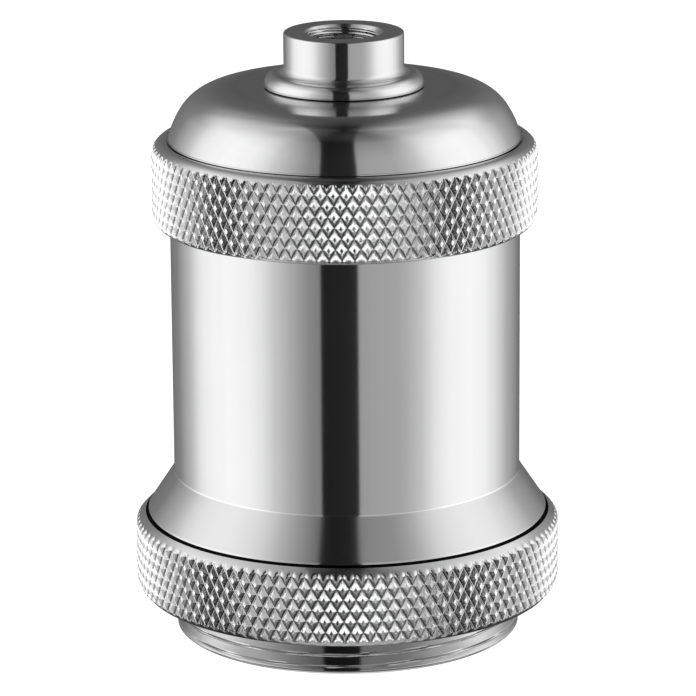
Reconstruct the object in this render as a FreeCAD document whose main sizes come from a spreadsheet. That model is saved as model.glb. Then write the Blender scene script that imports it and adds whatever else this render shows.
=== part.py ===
import FreeCAD, Part
import math
import os
import Sketcher

# Lamp holder with a domed cap, a knurled union ring, a flared body and a knurled shade ring.
# Millimetres, +Z up, origin at the centre of the bottom rim, where the holder stands.
# Camera side of the object is -Y.

SIZES = {
    # Body shell
    "body_radius": 23.5,
    "body_wall": 1.5,
    "spigot_step": 0.1,
    "spigot_length": 15.0,
    "spigot_edge": 0.5,
    "flange_overhang": 3.6,
    "flange_rim": 1.65,
    "rim_lip": 0.25,
    "rim_undercut": 0.6,
    "flare_height": 5.4,
    "cylinder_length": 35.05,
    "band_step": 1.0,
    "band_length": 7.9,
    "band_edge": 0.4,
    # Clearances
    "running_clearance": 0.05,
    "free_clearance": 0.3,
    "seat_clearance": 0.05,
    # Upper ring
    "upper_ring_wall": 1.4,
    "upper_ring_height": 11.3,
    "upper_ring_chamfer": 0.1,
    "upper_shoulder_round": 2.2,
    "upper_lip": 1.55,
    "upper_knurl_foot": 0.55,
    "upper_knurl_head": 0.65,
    "upper_knurl_count": 96,
    "upper_knurl_rows": 7,
    "upper_knurl_turn": 0.4,
    # Lower ring
    "lower_ring_wall": 1.5,
    "lower_ring_height": 10.7,
    "lower_ring_chamfer": 0.5,
    "lower_shoulder_round": 2.4,
    "lower_recess_depth": 1.15,
    "lower_knurl_foot": 0.55,
    "lower_knurl_head": 1.15,
    "lower_knurl_count": 106,
    "lower_knurl_rows": 6,
    "lower_knurl_turn": -1.3,
    # Knurl
    "knurl_depth": 0.62,
    "knurl_ledge": 0.05,
    # Cap
    "cap_wall": 1.6,
    "cap_overhang": 0.15,
    "cap_flange": 1.2,
    "cap_skirt_wall": 1.0,
    "cap_skirt_length": 2.2,
    "dome_side_angle": 75.6,
    "dome_knee_angle": 56.8,
    "dome_crown_angle": 9.5,
    "dome_side_round": 13.1,
    "dome_knee_round": 6.4,
    "dome_crown_round": 23.9,
    "collar_radius": 10.7,
    "collar_round": 2.1,
    "collar_foot": 0.3,
    "neck_radius": 8.05,
    "neck_length": 4.9,
    "neck_edge": 0.3,
    "entry_radius": 4.46,
    "entry_mouth": 0.8,
    # Locking screw in the neck
    "grub_radius": 1.5,
    "grub_length": 3.2,
    "grub_setback": 0.15,
    "grub_below_rim": 2.6,
    "grub_slot_width": 0.6,
    "grub_slot_depth": 0.9,
    # Earth screw and its saddle washer inside the cap
    "earth_screw_offset": 7.0,
    "earth_screw_radius": 1.25,
    "earth_screw_grip": 3.4,
    "earth_hole_spare": 0.4,
    "saddle_side": 6.4,
    "saddle_thickness": 0.8,
    "saddle_lug": 1.4,
    # Heads shared by the cheese-head screws
    "screw_head_radius": 2.4,
    "screw_head_height": 1.5,
    "screw_slot_width": 0.7,
    "screw_slot_depth": 0.8,
    # Ceramic insert
    "insert_ledge": 1.3,
    "insert_seat_height": 30.0,
    "insert_flange": 4.0,
    "insert_foot": 2.0,
    "insert_foot_edge": 0.8,
    "insert_web": 5.6,
    "insert_well_gap": 0.5,
    "insert_rib_thickness": 2.0,
    "insert_rib_height": 8.0,
    "insert_rib_length": 26.0,
    "terminal_pocket": 1.5,
    # Retaining ring above the insert
    "circlip_groove": 0.5,
    "circlip_width": 1.2,
    "circlip_inset": 0.9,
    "circlip_opening": 24.0,
    # Screw shell for the bulb
    "lamp_thread_radius": 12.2,
    "lamp_thread_depth": 1.1,
    "lamp_thread_pitch": 3.629,
    "lamp_thread_turns": 5,
    "lamp_sheet": 0.4,
    "lamp_shell_head": 1.6,
    "lamp_shell_mouth": 2.6,
    "lamp_floor_hole": 8.1,
    # Screws that hold the screw shell
    "fixing_offset": 10.15,
    "fixing_radius": 1.25,
    "fixing_head_radius": 1.9,
    "fixing_head_height": 1.2,
    "fixing_slot_width": 0.6,
    "fixing_slot_depth": 0.6,
    "fixing_grip": 2.6,
    "nut_side": 5.5,
    "nut_thickness": 2.4,
    # Centre contact
    "contact_sheet": 0.5,
    "contact_width": 5.0,
    "contact_lap": 1.7,
    "contact_drop": 2.9,
    "contact_nose": 1.6,
    "contact_nose_rise": 1.1,
    "contact_screw_offset": 3.9,
    # Terminal blocks
    "terminal_length": 8.0,
    "terminal_depth": 7.0,
    "terminal_height": 8.5,
    "terminal_gap_to_rib": 0.6,
    "terminal_wire_radius": 1.3,
    "terminal_wire_height": 4.8,
    "terminal_screw_radius": 1.5,
    "terminal_screw_grip": 3.0,
    "terminal_screw_lift": 1.0,
    "terminal_screw_shift": 1.2,
}

DOC = FreeCAD.newDocument("lamp_holder")
SHEET = DOC.addObject("Spreadsheet::Sheet", "Sizes")


class Size:
    """A number together with the sheet expression that it comes from."""

    def __init__(self, value, text):
        self.value = float(value)
        self.text = text

    def __add__(self, other):
        other = as_size(other)
        return Size(self.value + other.value, f"({self.text} + {other.text})")

    def __sub__(self, other):
        other = as_size(other)
        return Size(self.value - other.value, f"({self.text} - {other.text})")

    def __mul__(self, other):
        other = as_size(other)
        return Size(self.value * other.value, f"({self.text} * {other.text})")

    def __truediv__(self, other):
        other = as_size(other)
        return Size(self.value / other.value, f"({self.text} / {other.text})")

    def __neg__(self):
        return Size(-self.value, f"(0 - {self.text})")


def as_size(number):
    if isinstance(number, Size):
        return number
    return Size(number, f"({number})")


def sine(angle):
    return Size(math.sin(math.radians(angle.value)), f"sin({angle.text} * 1 deg)")


def cosine(angle):
    return Size(math.cos(math.radians(angle.value)), f"cos({angle.text} * 1 deg)")


class SizeNames:
    """Each sheet value under its own name."""


def fill_sheet():
    names = SizeNames()
    for row, (name, value) in enumerate(SIZES.items(), start=1):
        SHEET.set(f"A{row}", name)
        SHEET.set(f"B{row}", str(value))
        SHEET.setAlias(f"B{row}", name)
        setattr(names, name, Size(value, f"Sizes.{name}"))
    DOC.recompute()
    return names


S = fill_sheet()


# Drawing helpers

class Step:
    """One edge of an outline: it ends at (x, y) and is straight, or an arc of the given round.

    A positive round bulges to the left of the way that the edge runs, a negative one to the right.
    """

    def __init__(self, x, y, bulge=None):
        self.x = as_size(x)
        self.y = as_size(y)
        self.bulge = bulge

    def point(self):
        return FreeCAD.Vector(self.x.value, self.y.value, 0)


def arc_through(start, end, bulge):
    """The short arc from start to end with the radius and side that the bulge gives."""
    chord = end - start
    radius = abs(bulge.value)
    side = math.copysign(1.0, bulge.value)
    left = FreeCAD.Vector(-chord.y, chord.x, 0).normalize()
    sagitta = radius - math.sqrt(radius ** 2 - (chord.Length / 2) ** 2)
    middle = (start + end) * 0.5 + left * (side * sagitta)
    return Part.Arc(start, middle, end)


def draw_outline(sketch, steps):
    """Closed outline: every corner is held at its own place by the sheet."""
    for index, step in enumerate(steps):
        start = steps[index - 1].point()
        if step.bulge is None:
            sketch.addGeometry(Part.LineSegment(start, step.point()), False)
        else:
            sketch.addGeometry(arc_through(start, step.point(), step.bulge), False)
    ends = []
    for index, step in enumerate(steps):
        away = (sketch.getPoint(index, 2) - step.point()).Length
        near = (sketch.getPoint(index, 1) - step.point()).Length
        ends.append(2 if away < near else 1)
    first = sketch.ConstraintCount
    constraints = []
    bound = []
    for index, step in enumerate(steps):
        following = (index + 1) % len(steps)
        place = (index, ends[index])
        constraints.append(Sketcher.Constraint("Coincident", *place, following, 3 - ends[following]))
        for kind, axis, size in (("DistanceX", -2, step.x), ("DistanceY", -1, step.y)):
            if size.value == 0:
                constraints.append(Sketcher.Constraint("PointOnObject", *place, axis))
            else:
                bound.append((len(constraints), size.text))
                constraints.append(Sketcher.Constraint(kind, -1, 1, *place, size.value))
        if step.bulge is not None:
            radius = abs(step.bulge.value)
            text = step.bulge.text if step.bulge.value > 0 else f"(0 - {step.bulge.text})"
            bound.append((len(constraints), text))
            constraints.append(Sketcher.Constraint("Radius", index, radius))
    sketch.addConstraint(constraints)
    for offset, text in bound:
        sketch.setExpression(f"Constraints[{first + offset}]", text)


def draw_circle(sketch, x, y, radius):
    x = as_size(x)
    y = as_size(y)
    centre = FreeCAD.Vector(x.value, y.value, 0)
    index = sketch.addGeometry(Part.Circle(centre, FreeCAD.Vector(0, 0, 1), radius.value), False)
    for kind, axis, size in (("DistanceX", -2, x), ("DistanceY", -1, y)):
        if size.value == 0:
            sketch.addConstraint(Sketcher.Constraint("PointOnObject", index, 3, axis))
        else:
            held = sketch.addConstraint(Sketcher.Constraint(kind, -1, 1, index, 3, size.value))
            sketch.setExpression(f"Constraints[{held}]", size.text)
    held = sketch.addConstraint(Sketcher.Constraint("Radius", index, radius.value))
    sketch.setExpression(f"Constraints[{held}]", radius.text)


def rectangle(centre_x, centre_y, length, width):
    left = centre_x - length / 2
    right = centre_x + length / 2
    near = centre_y - width / 2
    far = centre_y + width / 2
    return [Step(left, near), Step(right, near), Step(right, far), Step(left, far)]


def new_body(label):
    body = DOC.addObject("PartDesign::Body", label)
    body.Label = label
    return body


def new_sketch(body, name, role="XZ_Plane", lift=None):
    sketch = body.newObject("Sketcher::SketchObject", name)
    plane = [feature for feature in body.Origin.OriginFeatures if feature.Role == role][0]
    sketch.AttachmentSupport = [(plane, "")]
    sketch.MapMode = "FlatFace"
    if lift is not None:
        sketch.AttachmentOffset = FreeCAD.Placement(FreeCAD.Vector(0, 0, lift.value), FreeCAD.Rotation())
        sketch.setExpression("AttachmentOffset.Base.z", lift.text)
    return sketch


def turn(body, steps, angle=None):
    """Revolve an outline of (radius, height) corners about the body's own Z axis."""
    sketch = new_sketch(body, body.Name + "_outline")
    draw_outline(sketch, steps)
    feature = body.newObject("PartDesign::Revolution", body.Name + "_turned")
    feature.Profile = sketch
    feature.ReferenceAxis = (sketch, ["V_Axis"])
    feature.Angle = 360
    if angle is not None:
        feature.setExpression("Angle", f"{angle.text} * 1 deg")
    DOC.recompute()
    return body


def raise_pad(body, name, steps, base, height):
    sketch = new_sketch(body, name + "_outline", "XY_Plane", base)
    draw_outline(sketch, steps)
    feature = body.newObject("PartDesign::Pad", name)
    feature.Profile = sketch
    feature.Length = height.value
    feature.setExpression("Length", height.text)
    DOC.recompute()


def cut_pocket(body, name, steps, top, depth):
    """Cut an outline down from the height top by depth."""
    sketch = new_sketch(body, name + "_outline", "XY_Plane", top)
    draw_outline(sketch, steps)
    finish_pocket(body, name, sketch, depth)


def drill(body, name, x, y, radius, top, depth):
    """Round hole down from the height top by depth."""
    sketch = new_sketch(body, name + "_circle", "XY_Plane", top)
    draw_circle(sketch, x, y, radius)
    finish_pocket(body, name, sketch, depth)


def finish_pocket(body, name, sketch, depth):
    DOC.recompute()
    before = body.Shape.Volume
    feature = body.newObject("PartDesign::Pocket", name)
    feature.Profile = sketch
    feature.Length = depth.value
    feature.setExpression("Length", depth.text)
    DOC.recompute()
    if body.Shape.Volume >= before - 1e-6:
        raise RuntimeError(name + " cuts nothing")


def put(item, x, y, z, rotation=None):
    """Place an object by sheet sizes."""
    x, y, z = as_size(x), as_size(y), as_size(z)
    rotation = rotation or FreeCAD.Rotation()
    item.Placement = FreeCAD.Placement(FreeCAD.Vector(x.value, y.value, z.value), rotation)
    for axis, size in (("x", x), ("y", y), ("z", z)):
        item.setExpression(f"Placement.Base.{axis}", size.text)
    return item


def group(label, form, places):
    """Several equal solids as one sub-part, each a link to the same form."""
    links = []
    for number, (x, y, z, rotation) in enumerate(places, start=1):
        link = DOC.addObject("App::Link", f"{label}_{number}")
        link.LinkedObject = form
        links.append(put(link, x, y, z, rotation))
    compound = DOC.addObject("Part::Compound", label)
    compound.Label = label
    compound.Links = links
    DOC.recompute()
    return compound


HEAD_DOWN = FreeCAD.Rotation(FreeCAD.Vector(1, 0, 0), 180)
HEAD_UP = FreeCAD.Rotation()
HEAD_BACK = FreeCAD.Rotation(FreeCAD.Vector(1, 0, 0), -90)


def slotted_screw(label, radius, grip, head_radius, head_height, slot_width, slot_depth):
    """Cheese-head screw on its own Z axis, with the end of its shank at zero."""
    top = grip + head_height
    body = turn(new_body(label), [
        Step(0, 0),
        Step(radius, 0),
        Step(radius, grip),
        Step(head_radius, grip),
        Step(head_radius, top),
        Step(0, top),
    ])
    cut_pocket(body, label + "_slot", rectangle(as_size(0), as_size(0), head_radius * 3, slot_width),
               top, slot_depth)
    return body


# Heights and radii that several pieces share

flange_bottom = S.spigot_length
flange_edge = flange_bottom + S.flange_rim
flare_top = flange_edge + S.flare_height
band_bottom = flare_top + S.cylinder_length
shell_top = band_bottom + S.band_length
cap_flange_top = shell_top + S.cap_flange
ring_top = cap_flange_top + S.upper_lip
ring_bottom = ring_top - S.upper_ring_height

spigot_radius = S.body_radius - S.spigot_step
flange_radius = S.body_radius + S.flange_overhang
neck_of_rim = flange_radius - S.rim_undercut
band_radius = S.body_radius + S.band_step
shell_bore = S.body_radius - S.body_wall
lower_bore = shell_bore - S.insert_ledge
insert_radius = lower_bore - S.free_clearance
upper_ring_bore = band_radius + S.running_clearance
upper_tip = upper_ring_bore + S.upper_ring_wall
cap_rim_radius = S.body_radius + S.cap_overhang
lower_recess = flange_radius + S.free_clearance
lower_tip = lower_recess + S.lower_ring_wall
lower_ring_top = flange_bottom + S.lower_recess_depth
lower_ring_bottom = lower_ring_top - S.lower_ring_height

insert_top = S.insert_seat_height + S.insert_flange
web_bottom = insert_top - S.insert_web
groove_bottom = insert_top
groove_top = groove_bottom + S.circlip_width + S.seat_clearance
groove_radius = shell_bore + S.circlip_groove
lamp_shell_outer = S.lamp_thread_radius + S.lamp_thread_depth + S.lamp_sheet
well_radius = lamp_shell_outer + S.insert_well_gap


# Body shell: spigot, flange, flare, cylinder and threaded band in one piece

def make_body_shell():
    return turn(new_body("body_shell"), [
        Step(lower_bore, 0),
        Step(spigot_radius - S.spigot_edge, 0),
        Step(spigot_radius, S.spigot_edge, -S.spigot_edge),
        Step(spigot_radius, flange_bottom),
        Step(neck_of_rim, flange_bottom),
        Step(neck_of_rim, flange_edge - S.rim_lip),
        Step(flange_radius, flange_edge - S.rim_lip),
        Step(flange_radius, flange_edge),
        Step(S.body_radius, flare_top),
        Step(S.body_radius, band_bottom),
        Step(band_radius, band_bottom),
        Step(band_radius, shell_top - S.band_edge),
        Step(band_radius - S.band_edge, shell_top),
        Step(shell_bore, shell_top),
        Step(shell_bore, groove_top),
        Step(groove_radius, groove_top),
        Step(groove_radius, groove_bottom),
        Step(shell_bore, groove_bottom),
        Step(shell_bore, S.insert_seat_height),
        Step(lower_bore, S.insert_seat_height),
    ])


# Knurled rings: a turned blank whose grip band is covered with diamond pyramids

def grip_point(radius, turn_angle, height):
    angle = math.radians(turn_angle)
    return FreeCAD.Vector(radius * math.cos(angle), radius * math.sin(angle), height)


def knurl_level(level, rows, count, start_angle, root, tip, height):
    """Corners of one level: tips and roots take turns, and the two end levels have roots only."""
    points = []
    for index in range(2 * count):
        raised = 0 < level < rows and (index + level) % 2 == 0
        radius = tip if raised else root
        points.append(grip_point(radius, start_angle + index * 180 / count, height))
    return points


def triangle(first, second, third):
    return Part.Face(Part.makePolygon([first, second, third, first]))


def knurl_faces(levels):
    """Two faces in each cell, which meet along the groove between its two roots."""
    faces = []
    for level in range(len(levels) - 1):
        lower = levels[level]
        upper = levels[level + 1]
        for index in range(len(lower)):
            after = (index + 1) % len(lower)
            if (index + level) % 2 == 0:
                faces.append(triangle(lower[index], lower[after], upper[index]))
                faces.append(triangle(lower[after], upper[after], upper[index]))
            else:
                faces.append(triangle(lower[index], lower[after], upper[after]))
                faces.append(triangle(lower[index], upper[after], upper[index]))
    return faces


def knurl_ring(label, blank, tip, bottom, top, count, rows, crown_turn):
    """Put the diamonds of the knurl in place of the blank's plain grip band."""
    count = int(round(count.value))
    rows = int(round(rows.value))
    root = tip.value - S.knurl_depth.value
    start_angle = -90 + crown_turn.value - ((rows - 1) % 2) * 180 / count
    levels = []
    for level in range(rows + 1):
        height = bottom.value + (top.value - bottom.value) * level / rows
        levels.append(knurl_level(level, rows, count, start_angle, root, tip.value, height))
    band = [face for face in blank.Shape.Faces if is_grip_band(face, root - S.knurl_ledge.value)][0]
    faces = [face for face in blank.Shape.Faces if not face.isSame(band)]
    for points in (levels[0], levels[-1]):
        outside = Part.makePolygon(points + [points[0]])
        circle = [edge for edge in band.Edges if is_circle_at(edge, points[0].z)][0]
        faces.append(Part.makeFace([outside, Part.Wire([circle])], "Part::FaceMakerBullseye"))
    shell = Part.makeShell(faces + knurl_faces(levels))
    shell.sewShape()
    solid = Part.makeSolid(shell)
    if solid.Volume < 0:
        solid.reverse()
    ring = DOC.addObject("Part::Feature", label)
    ring.Label = label
    ring.Shape = solid
    ring.Placement = FreeCAD.Placement()
    return ring


def is_grip_band(face, radius):
    return isinstance(face.Surface, Part.Cylinder) and abs(face.Surface.Radius - radius) < 1e-4


def is_circle_at(edge, height):
    return isinstance(edge.Curve, Part.Circle) and abs(edge.Curve.Center.z - height) < 1e-4


def make_upper_ring():
    band = upper_tip - S.knurl_depth - S.knurl_ledge
    grip_bottom = ring_bottom + S.upper_knurl_foot
    grip_top = ring_top - S.upper_knurl_head
    lip_bore = cap_rim_radius + S.free_clearance
    blank = turn(new_body("upper_ring_blank"), [
        Step(upper_ring_bore, ring_bottom),
        Step(band - S.upper_ring_chamfer, ring_bottom),
        Step(band, grip_bottom),
        Step(band, grip_top),
        Step(lip_bore, ring_top, -S.upper_shoulder_round),
        Step(lip_bore, cap_flange_top),
        Step(upper_ring_bore, cap_flange_top),
    ])
    return knurl_ring("upper_ring", blank, upper_tip, grip_bottom, grip_top,
                      S.upper_knurl_count, S.upper_knurl_rows, S.upper_knurl_turn)


def make_lower_ring():
    band = lower_tip - S.knurl_depth - S.knurl_ledge
    bore = spigot_radius + S.running_clearance
    grip_bottom = lower_ring_bottom + S.lower_knurl_foot
    grip_top = lower_ring_top - S.lower_knurl_head
    blank = turn(new_body("lower_ring_blank"), [
        Step(bore, lower_ring_bottom),
        Step(band - S.lower_ring_chamfer, lower_ring_bottom),
        Step(band, grip_bottom),
        Step(band, grip_top),
        Step(lower_recess, lower_ring_top, -S.lower_shoulder_round),
        Step(lower_recess, flange_bottom),
        Step(bore, flange_bottom),
    ])
    return knurl_ring("lower_ring", blank, lower_tip, grip_bottom, grip_top,
                      S.lower_knurl_count, S.lower_knurl_rows, S.lower_knurl_turn)


# Cap: skirt, flange, dome, collar and neck in one piece

def dome_centres():
    """Centres of the three arcs, which run into one another without a kink."""
    side_x = cap_rim_radius - S.dome_side_round * sine(S.dome_side_angle)
    side_y = ring_top - S.dome_side_round * cosine(S.dome_side_angle)
    knee_x = side_x + (S.dome_side_round - S.dome_knee_round) * sine(S.dome_knee_angle)
    knee_y = side_y + (S.dome_side_round - S.dome_knee_round) * cosine(S.dome_knee_angle)
    crown_x = knee_x - (S.dome_crown_round - S.dome_knee_round) * sine(S.dome_crown_angle)
    crown_y = knee_y - (S.dome_crown_round - S.dome_knee_round) * cosine(S.dome_crown_angle)
    return (side_x, side_y), (knee_x, knee_y), (crown_x, crown_y)


def arc_point(centre, radius, angle):
    return centre[0] + radius * sine(angle), centre[1] + radius * cosine(angle)


side_centre, knee_centre, crown_centre = dome_centres()
crown_height = crown_centre[1] + S.dome_crown_round
collar_top = crown_height + S.collar_foot + S.collar_round
neck_top = collar_top + S.neck_length
cap_ceiling = crown_height - S.cap_wall
skirt_radius = shell_bore - S.free_clearance
skirt_bore = skirt_radius - S.cap_skirt_wall
skirt_bottom = shell_top - S.cap_skirt_length


def make_cap():
    side = S.dome_side_round
    knee = S.dome_knee_round
    crown = S.dome_crown_round
    side_in = side - S.cap_wall
    knee_in = knee - S.cap_wall
    crown_in = crown - S.cap_wall
    flange = upper_ring_bore - S.free_clearance
    body = turn(new_body("cap"), [
        Step(skirt_bore, skirt_bottom),
        Step(skirt_radius, skirt_bottom),
        Step(skirt_radius, shell_top),
        Step(flange, shell_top),
        Step(flange, cap_flange_top),
        Step(cap_rim_radius, cap_flange_top),
        Step(cap_rim_radius, ring_top),
        Step(*arc_point(side_centre, side, S.dome_knee_angle), -side),
        Step(*arc_point(knee_centre, knee, S.dome_crown_angle), -knee),
        Step(crown_centre[0], crown_height, -crown),
        Step(S.collar_radius, crown_height),
        Step(S.collar_radius, crown_height + S.collar_foot),
        Step(S.collar_radius - S.collar_round, collar_top, -S.collar_round),
        Step(S.neck_radius, collar_top),
        Step(S.neck_radius, neck_top - S.neck_edge),
        Step(S.neck_radius - S.neck_edge, neck_top),
        Step(S.entry_radius + S.entry_mouth, neck_top),
        Step(S.entry_radius, neck_top - S.entry_mouth),
        Step(S.entry_radius, cap_ceiling),
        Step(crown_centre[0], cap_ceiling),
        Step(*arc_point(knee_centre, knee_in, S.dome_crown_angle), crown_in),
        Step(*arc_point(side_centre, side_in, S.dome_knee_angle), knee_in),
        Step(*arc_point(side_centre, side_in, S.dome_side_angle), side_in),
        Step(skirt_bore, shell_top),
    ])
    # Threaded hole for the locking screw, at the back of the neck
    sketch = new_sketch(body, "grub_hole_circle")
    draw_circle(sketch, 0, neck_top - S.grub_below_rim, S.grub_radius + S.seat_clearance)
    finish_pocket(body, "grub_hole", sketch, S.neck_radius * 2)
    drill(body, "earth_hole", -S.earth_screw_offset, 0, S.earth_screw_radius + S.seat_clearance,
          cap_ceiling + S.earth_screw_grip, S.earth_screw_grip + S.cap_wall)
    return body


def make_grub_screw():
    body = turn(new_body("neck_grub_screw"), [
        Step(0, 0),
        Step(S.grub_radius, 0),
        Step(S.grub_radius, S.grub_length),
        Step(0, S.grub_length),
    ])
    cut_pocket(body, "grub_slot", rectangle(as_size(0), as_size(0), S.grub_radius * 3, S.grub_slot_width),
               S.grub_length, S.grub_slot_depth)
    return put(body, 0, S.neck_radius - S.grub_setback - S.grub_length,
               neck_top - S.grub_below_rim, HEAD_BACK)


def make_earth_screw():
    shank = S.earth_screw_grip - S.earth_hole_spare + S.saddle_thickness
    body = slotted_screw("earth_screw", S.earth_screw_radius, shank, S.screw_head_radius,
                         S.screw_head_height, S.screw_slot_width, S.screw_slot_depth)
    return put(body, -S.earth_screw_offset, 0,
               cap_ceiling + S.earth_screw_grip - S.earth_hole_spare, HEAD_DOWN)


def make_earth_saddle():
    """Square washer with a lug turned down on its outer side, which keeps the wire in."""
    body = new_body("earth_saddle_washer")
    base = cap_ceiling - S.saddle_thickness
    centre = -S.earth_screw_offset
    raise_pad(body, "saddle_plate", rectangle(centre, as_size(0), S.saddle_side, S.saddle_side),
              base, S.saddle_thickness)
    raise_pad(body, "saddle_lug", rectangle(centre - (S.saddle_side - S.saddle_thickness) / 2, as_size(0),
                                            S.saddle_thickness, S.saddle_side),
              base - S.saddle_lug, S.saddle_lug)
    drill(body, "saddle_hole", centre, 0, S.earth_screw_radius + S.seat_clearance,
          cap_ceiling, S.saddle_thickness)
    return body


# Ceramic insert with its screw shell, contact, terminals and retaining ring

rib_near = S.terminal_depth / 2 + S.terminal_gap_to_rib
rib_centre = rib_near + S.insert_rib_thickness / 2
neutral_centre = S.fixing_offset
pocket_floor = insert_top - S.terminal_pocket


def make_insert():
    body = turn(new_body("ceramic_insert"), [
        Step(well_radius, S.insert_foot),
        Step(insert_radius - S.insert_foot_edge, S.insert_foot),
        Step(insert_radius, S.insert_foot + S.insert_foot_edge),
        Step(insert_radius, S.insert_seat_height),
        Step(skirt_radius, S.insert_seat_height),
        Step(skirt_radius, insert_top),
        Step(0, insert_top),
        Step(0, web_bottom),
        Step(well_radius, web_bottom),
    ])
    raise_pad(body, "insert_rib", rectangle(as_size(0), rib_centre, S.insert_rib_length, S.insert_rib_thickness),
              insert_top, S.insert_rib_height)
    side = S.terminal_length + S.seat_clearance * 2
    depth = S.terminal_depth + S.seat_clearance * 2
    cut_pocket(body, "live_pocket", rectangle(S.contact_screw_offset, as_size(0), side, depth),
               insert_top, S.terminal_pocket)
    cut_pocket(body, "neutral_pocket", rectangle(as_size(0), neutral_centre, side, depth),
               insert_top, S.terminal_pocket)
    nut = S.nut_side + S.seat_clearance * 2
    cut_pocket(body, "nut_pocket", rectangle(as_size(0), -S.fixing_offset, nut, nut),
               insert_top, S.nut_thickness)
    hole = S.fixing_radius + S.seat_clearance
    drill(body, "contact_hole", S.contact_screw_offset, 0, hole, insert_top, S.insert_web)
    drill(body, "neutral_hole", 0, S.fixing_offset, hole, insert_top, S.insert_web)
    drill(body, "anchor_hole", 0, -S.fixing_offset, hole, insert_top, S.insert_web)
    return body


def wave_side(radius, top, bulge):
    """Round thread form as a chain of equal arcs, from the top down."""
    steps = []
    half = S.lamp_thread_pitch / 2
    height = top
    for number in range(2 * int(round(S.lamp_thread_turns.value))):
        height = height - half
        steps.append(Step(radius, height, bulge if number % 2 == 0 else -bulge))
    return steps


def make_screw_shell():
    """Cup of thin sheet with the rolled lamp thread, open downwards."""
    middle = S.lamp_thread_radius + S.lamp_thread_depth / 2
    half = S.lamp_thread_pitch / 2
    rise = S.lamp_thread_depth / 2
    bulge = (half * half / 4 + rise * rise) / (rise * 2)
    floor_low = web_bottom - S.lamp_sheet
    thread_top = floor_low - S.lamp_shell_head
    outside = wave_side(middle + S.lamp_sheet, thread_top, bulge)
    thread_bottom = outside[-1].y
    mouth = thread_bottom - S.lamp_shell_mouth
    inside = wave_side(middle, thread_top, bulge)
    upward = []
    for number, step in enumerate(reversed(inside[:-1])):
        upward.append(Step(step.x, step.y, bulge if number % 2 == 0 else -bulge))
    upward.append(Step(middle, thread_top, -bulge))
    body = turn(new_body("screw_shell"), [
        Step(S.lamp_floor_hole, floor_low),
        Step(S.lamp_floor_hole, web_bottom),
        Step(middle + S.lamp_sheet, web_bottom),
        Step(middle + S.lamp_sheet, thread_top),
        *outside,
        Step(middle + S.lamp_sheet, mouth),
        Step(middle, mouth),
        Step(middle, thread_bottom),
        *upward,
        Step(middle, floor_low),
    ])
    hole = S.fixing_radius + S.seat_clearance
    drill(body, "shell_hole_far", 0, S.fixing_offset, hole, web_bottom, S.lamp_sheet)
    drill(body, "shell_hole_near", 0, -S.fixing_offset, hole, web_bottom, S.lamp_sheet)
    return body


def make_centre_contact():
    """Springy leaf: its pad lies on the ceramic, and its nose drops to the lamp's contact."""
    sheet = S.contact_sheet
    pad_start = S.contact_screw_offset + S.contact_lap
    pad_end = S.contact_screw_offset - S.fixing_head_radius - S.seat_clearance * 2
    low = web_bottom - S.contact_drop
    body = new_body("centre_contact")
    sketch = new_sketch(body, "contact_side")
    draw_outline(sketch, [
        Step(pad_start, web_bottom - sheet),
        Step(pad_start, web_bottom),
        Step(pad_end - sheet / 3, web_bottom),
        Step(-S.contact_nose, low + sheet),
        Step(-S.contact_nose * 2, low + sheet + S.contact_nose_rise),
        Step(-S.contact_nose * 2 - sheet, low + S.contact_nose_rise),
        Step(-S.contact_nose - sheet / 2, low),
        Step(pad_end, web_bottom - sheet),
    ])
    feature = body.newObject("PartDesign::Pad", "contact_leaf")
    feature.Profile = sketch
    feature.Midplane = True
    feature.Length = S.contact_width.value
    feature.setExpression("Length", S.contact_width.text)
    DOC.recompute()
    drill(body, "contact_pad_hole", S.contact_screw_offset, 0, S.fixing_radius + S.seat_clearance,
          web_bottom, sheet * 2)
    return body


def make_contact_screw():
    grip = S.contact_sheet + pocket_floor - web_bottom + S.fixing_grip
    body = slotted_screw("centre_contact_screw", S.fixing_radius, grip, S.fixing_head_radius,
                         S.fixing_head_height, S.fixing_slot_width, S.fixing_slot_depth)
    return put(body, S.contact_screw_offset, 0, pocket_floor + S.fixing_grip, HEAD_DOWN)


def make_terminal(label, x, y):
    """Brass block with a cross hole for the wire and a clamping screw from above."""
    body = new_body(label)
    side = S.terminal_length
    raise_pad(body, label + "_block", rectangle(x, y, side, S.terminal_depth),
              pocket_floor, S.terminal_height)
    top = pocket_floor + S.terminal_height
    screw_x = x + S.terminal_screw_shift
    drill(body, label + "_screw_hole", screw_x, y, S.terminal_screw_radius + S.seat_clearance,
          top, S.terminal_height - S.terminal_wire_height + S.terminal_wire_radius)
    fixing_x = x
    drill(body, label + "_fixing_hole", fixing_x, y, S.fixing_radius + S.seat_clearance,
          pocket_floor + S.fixing_grip, S.fixing_grip)
    sketch = new_sketch(body, label + "_wire_circle")
    draw_circle(sketch, screw_x, pocket_floor + S.terminal_wire_height, S.terminal_wire_radius)
    before = body.Shape.Volume
    feature = body.newObject("PartDesign::Pocket", label + "_wire_hole")
    feature.Profile = sketch
    feature.Midplane = True
    feature.Length = 1
    feature.setExpression("Length", ((y + S.terminal_depth) * 4).text)
    DOC.recompute()
    if body.Shape.Volume >= before:
        raise RuntimeError(label + " has no wire hole")
    return body


def make_terminal_screws():
    screw = slotted_screw("terminal_screw_form", S.terminal_screw_radius,
                          S.terminal_screw_grip + S.terminal_screw_lift,
                          S.screw_head_radius, S.screw_head_height, S.screw_slot_width, S.screw_slot_depth)
    bottom = pocket_floor + S.terminal_height - S.terminal_screw_grip
    return group("terminal_screws", screw, [
        (S.contact_screw_offset + S.terminal_screw_shift, 0, bottom, HEAD_UP),
        (S.terminal_screw_shift, neutral_centre, bottom, HEAD_UP),
    ])


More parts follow.
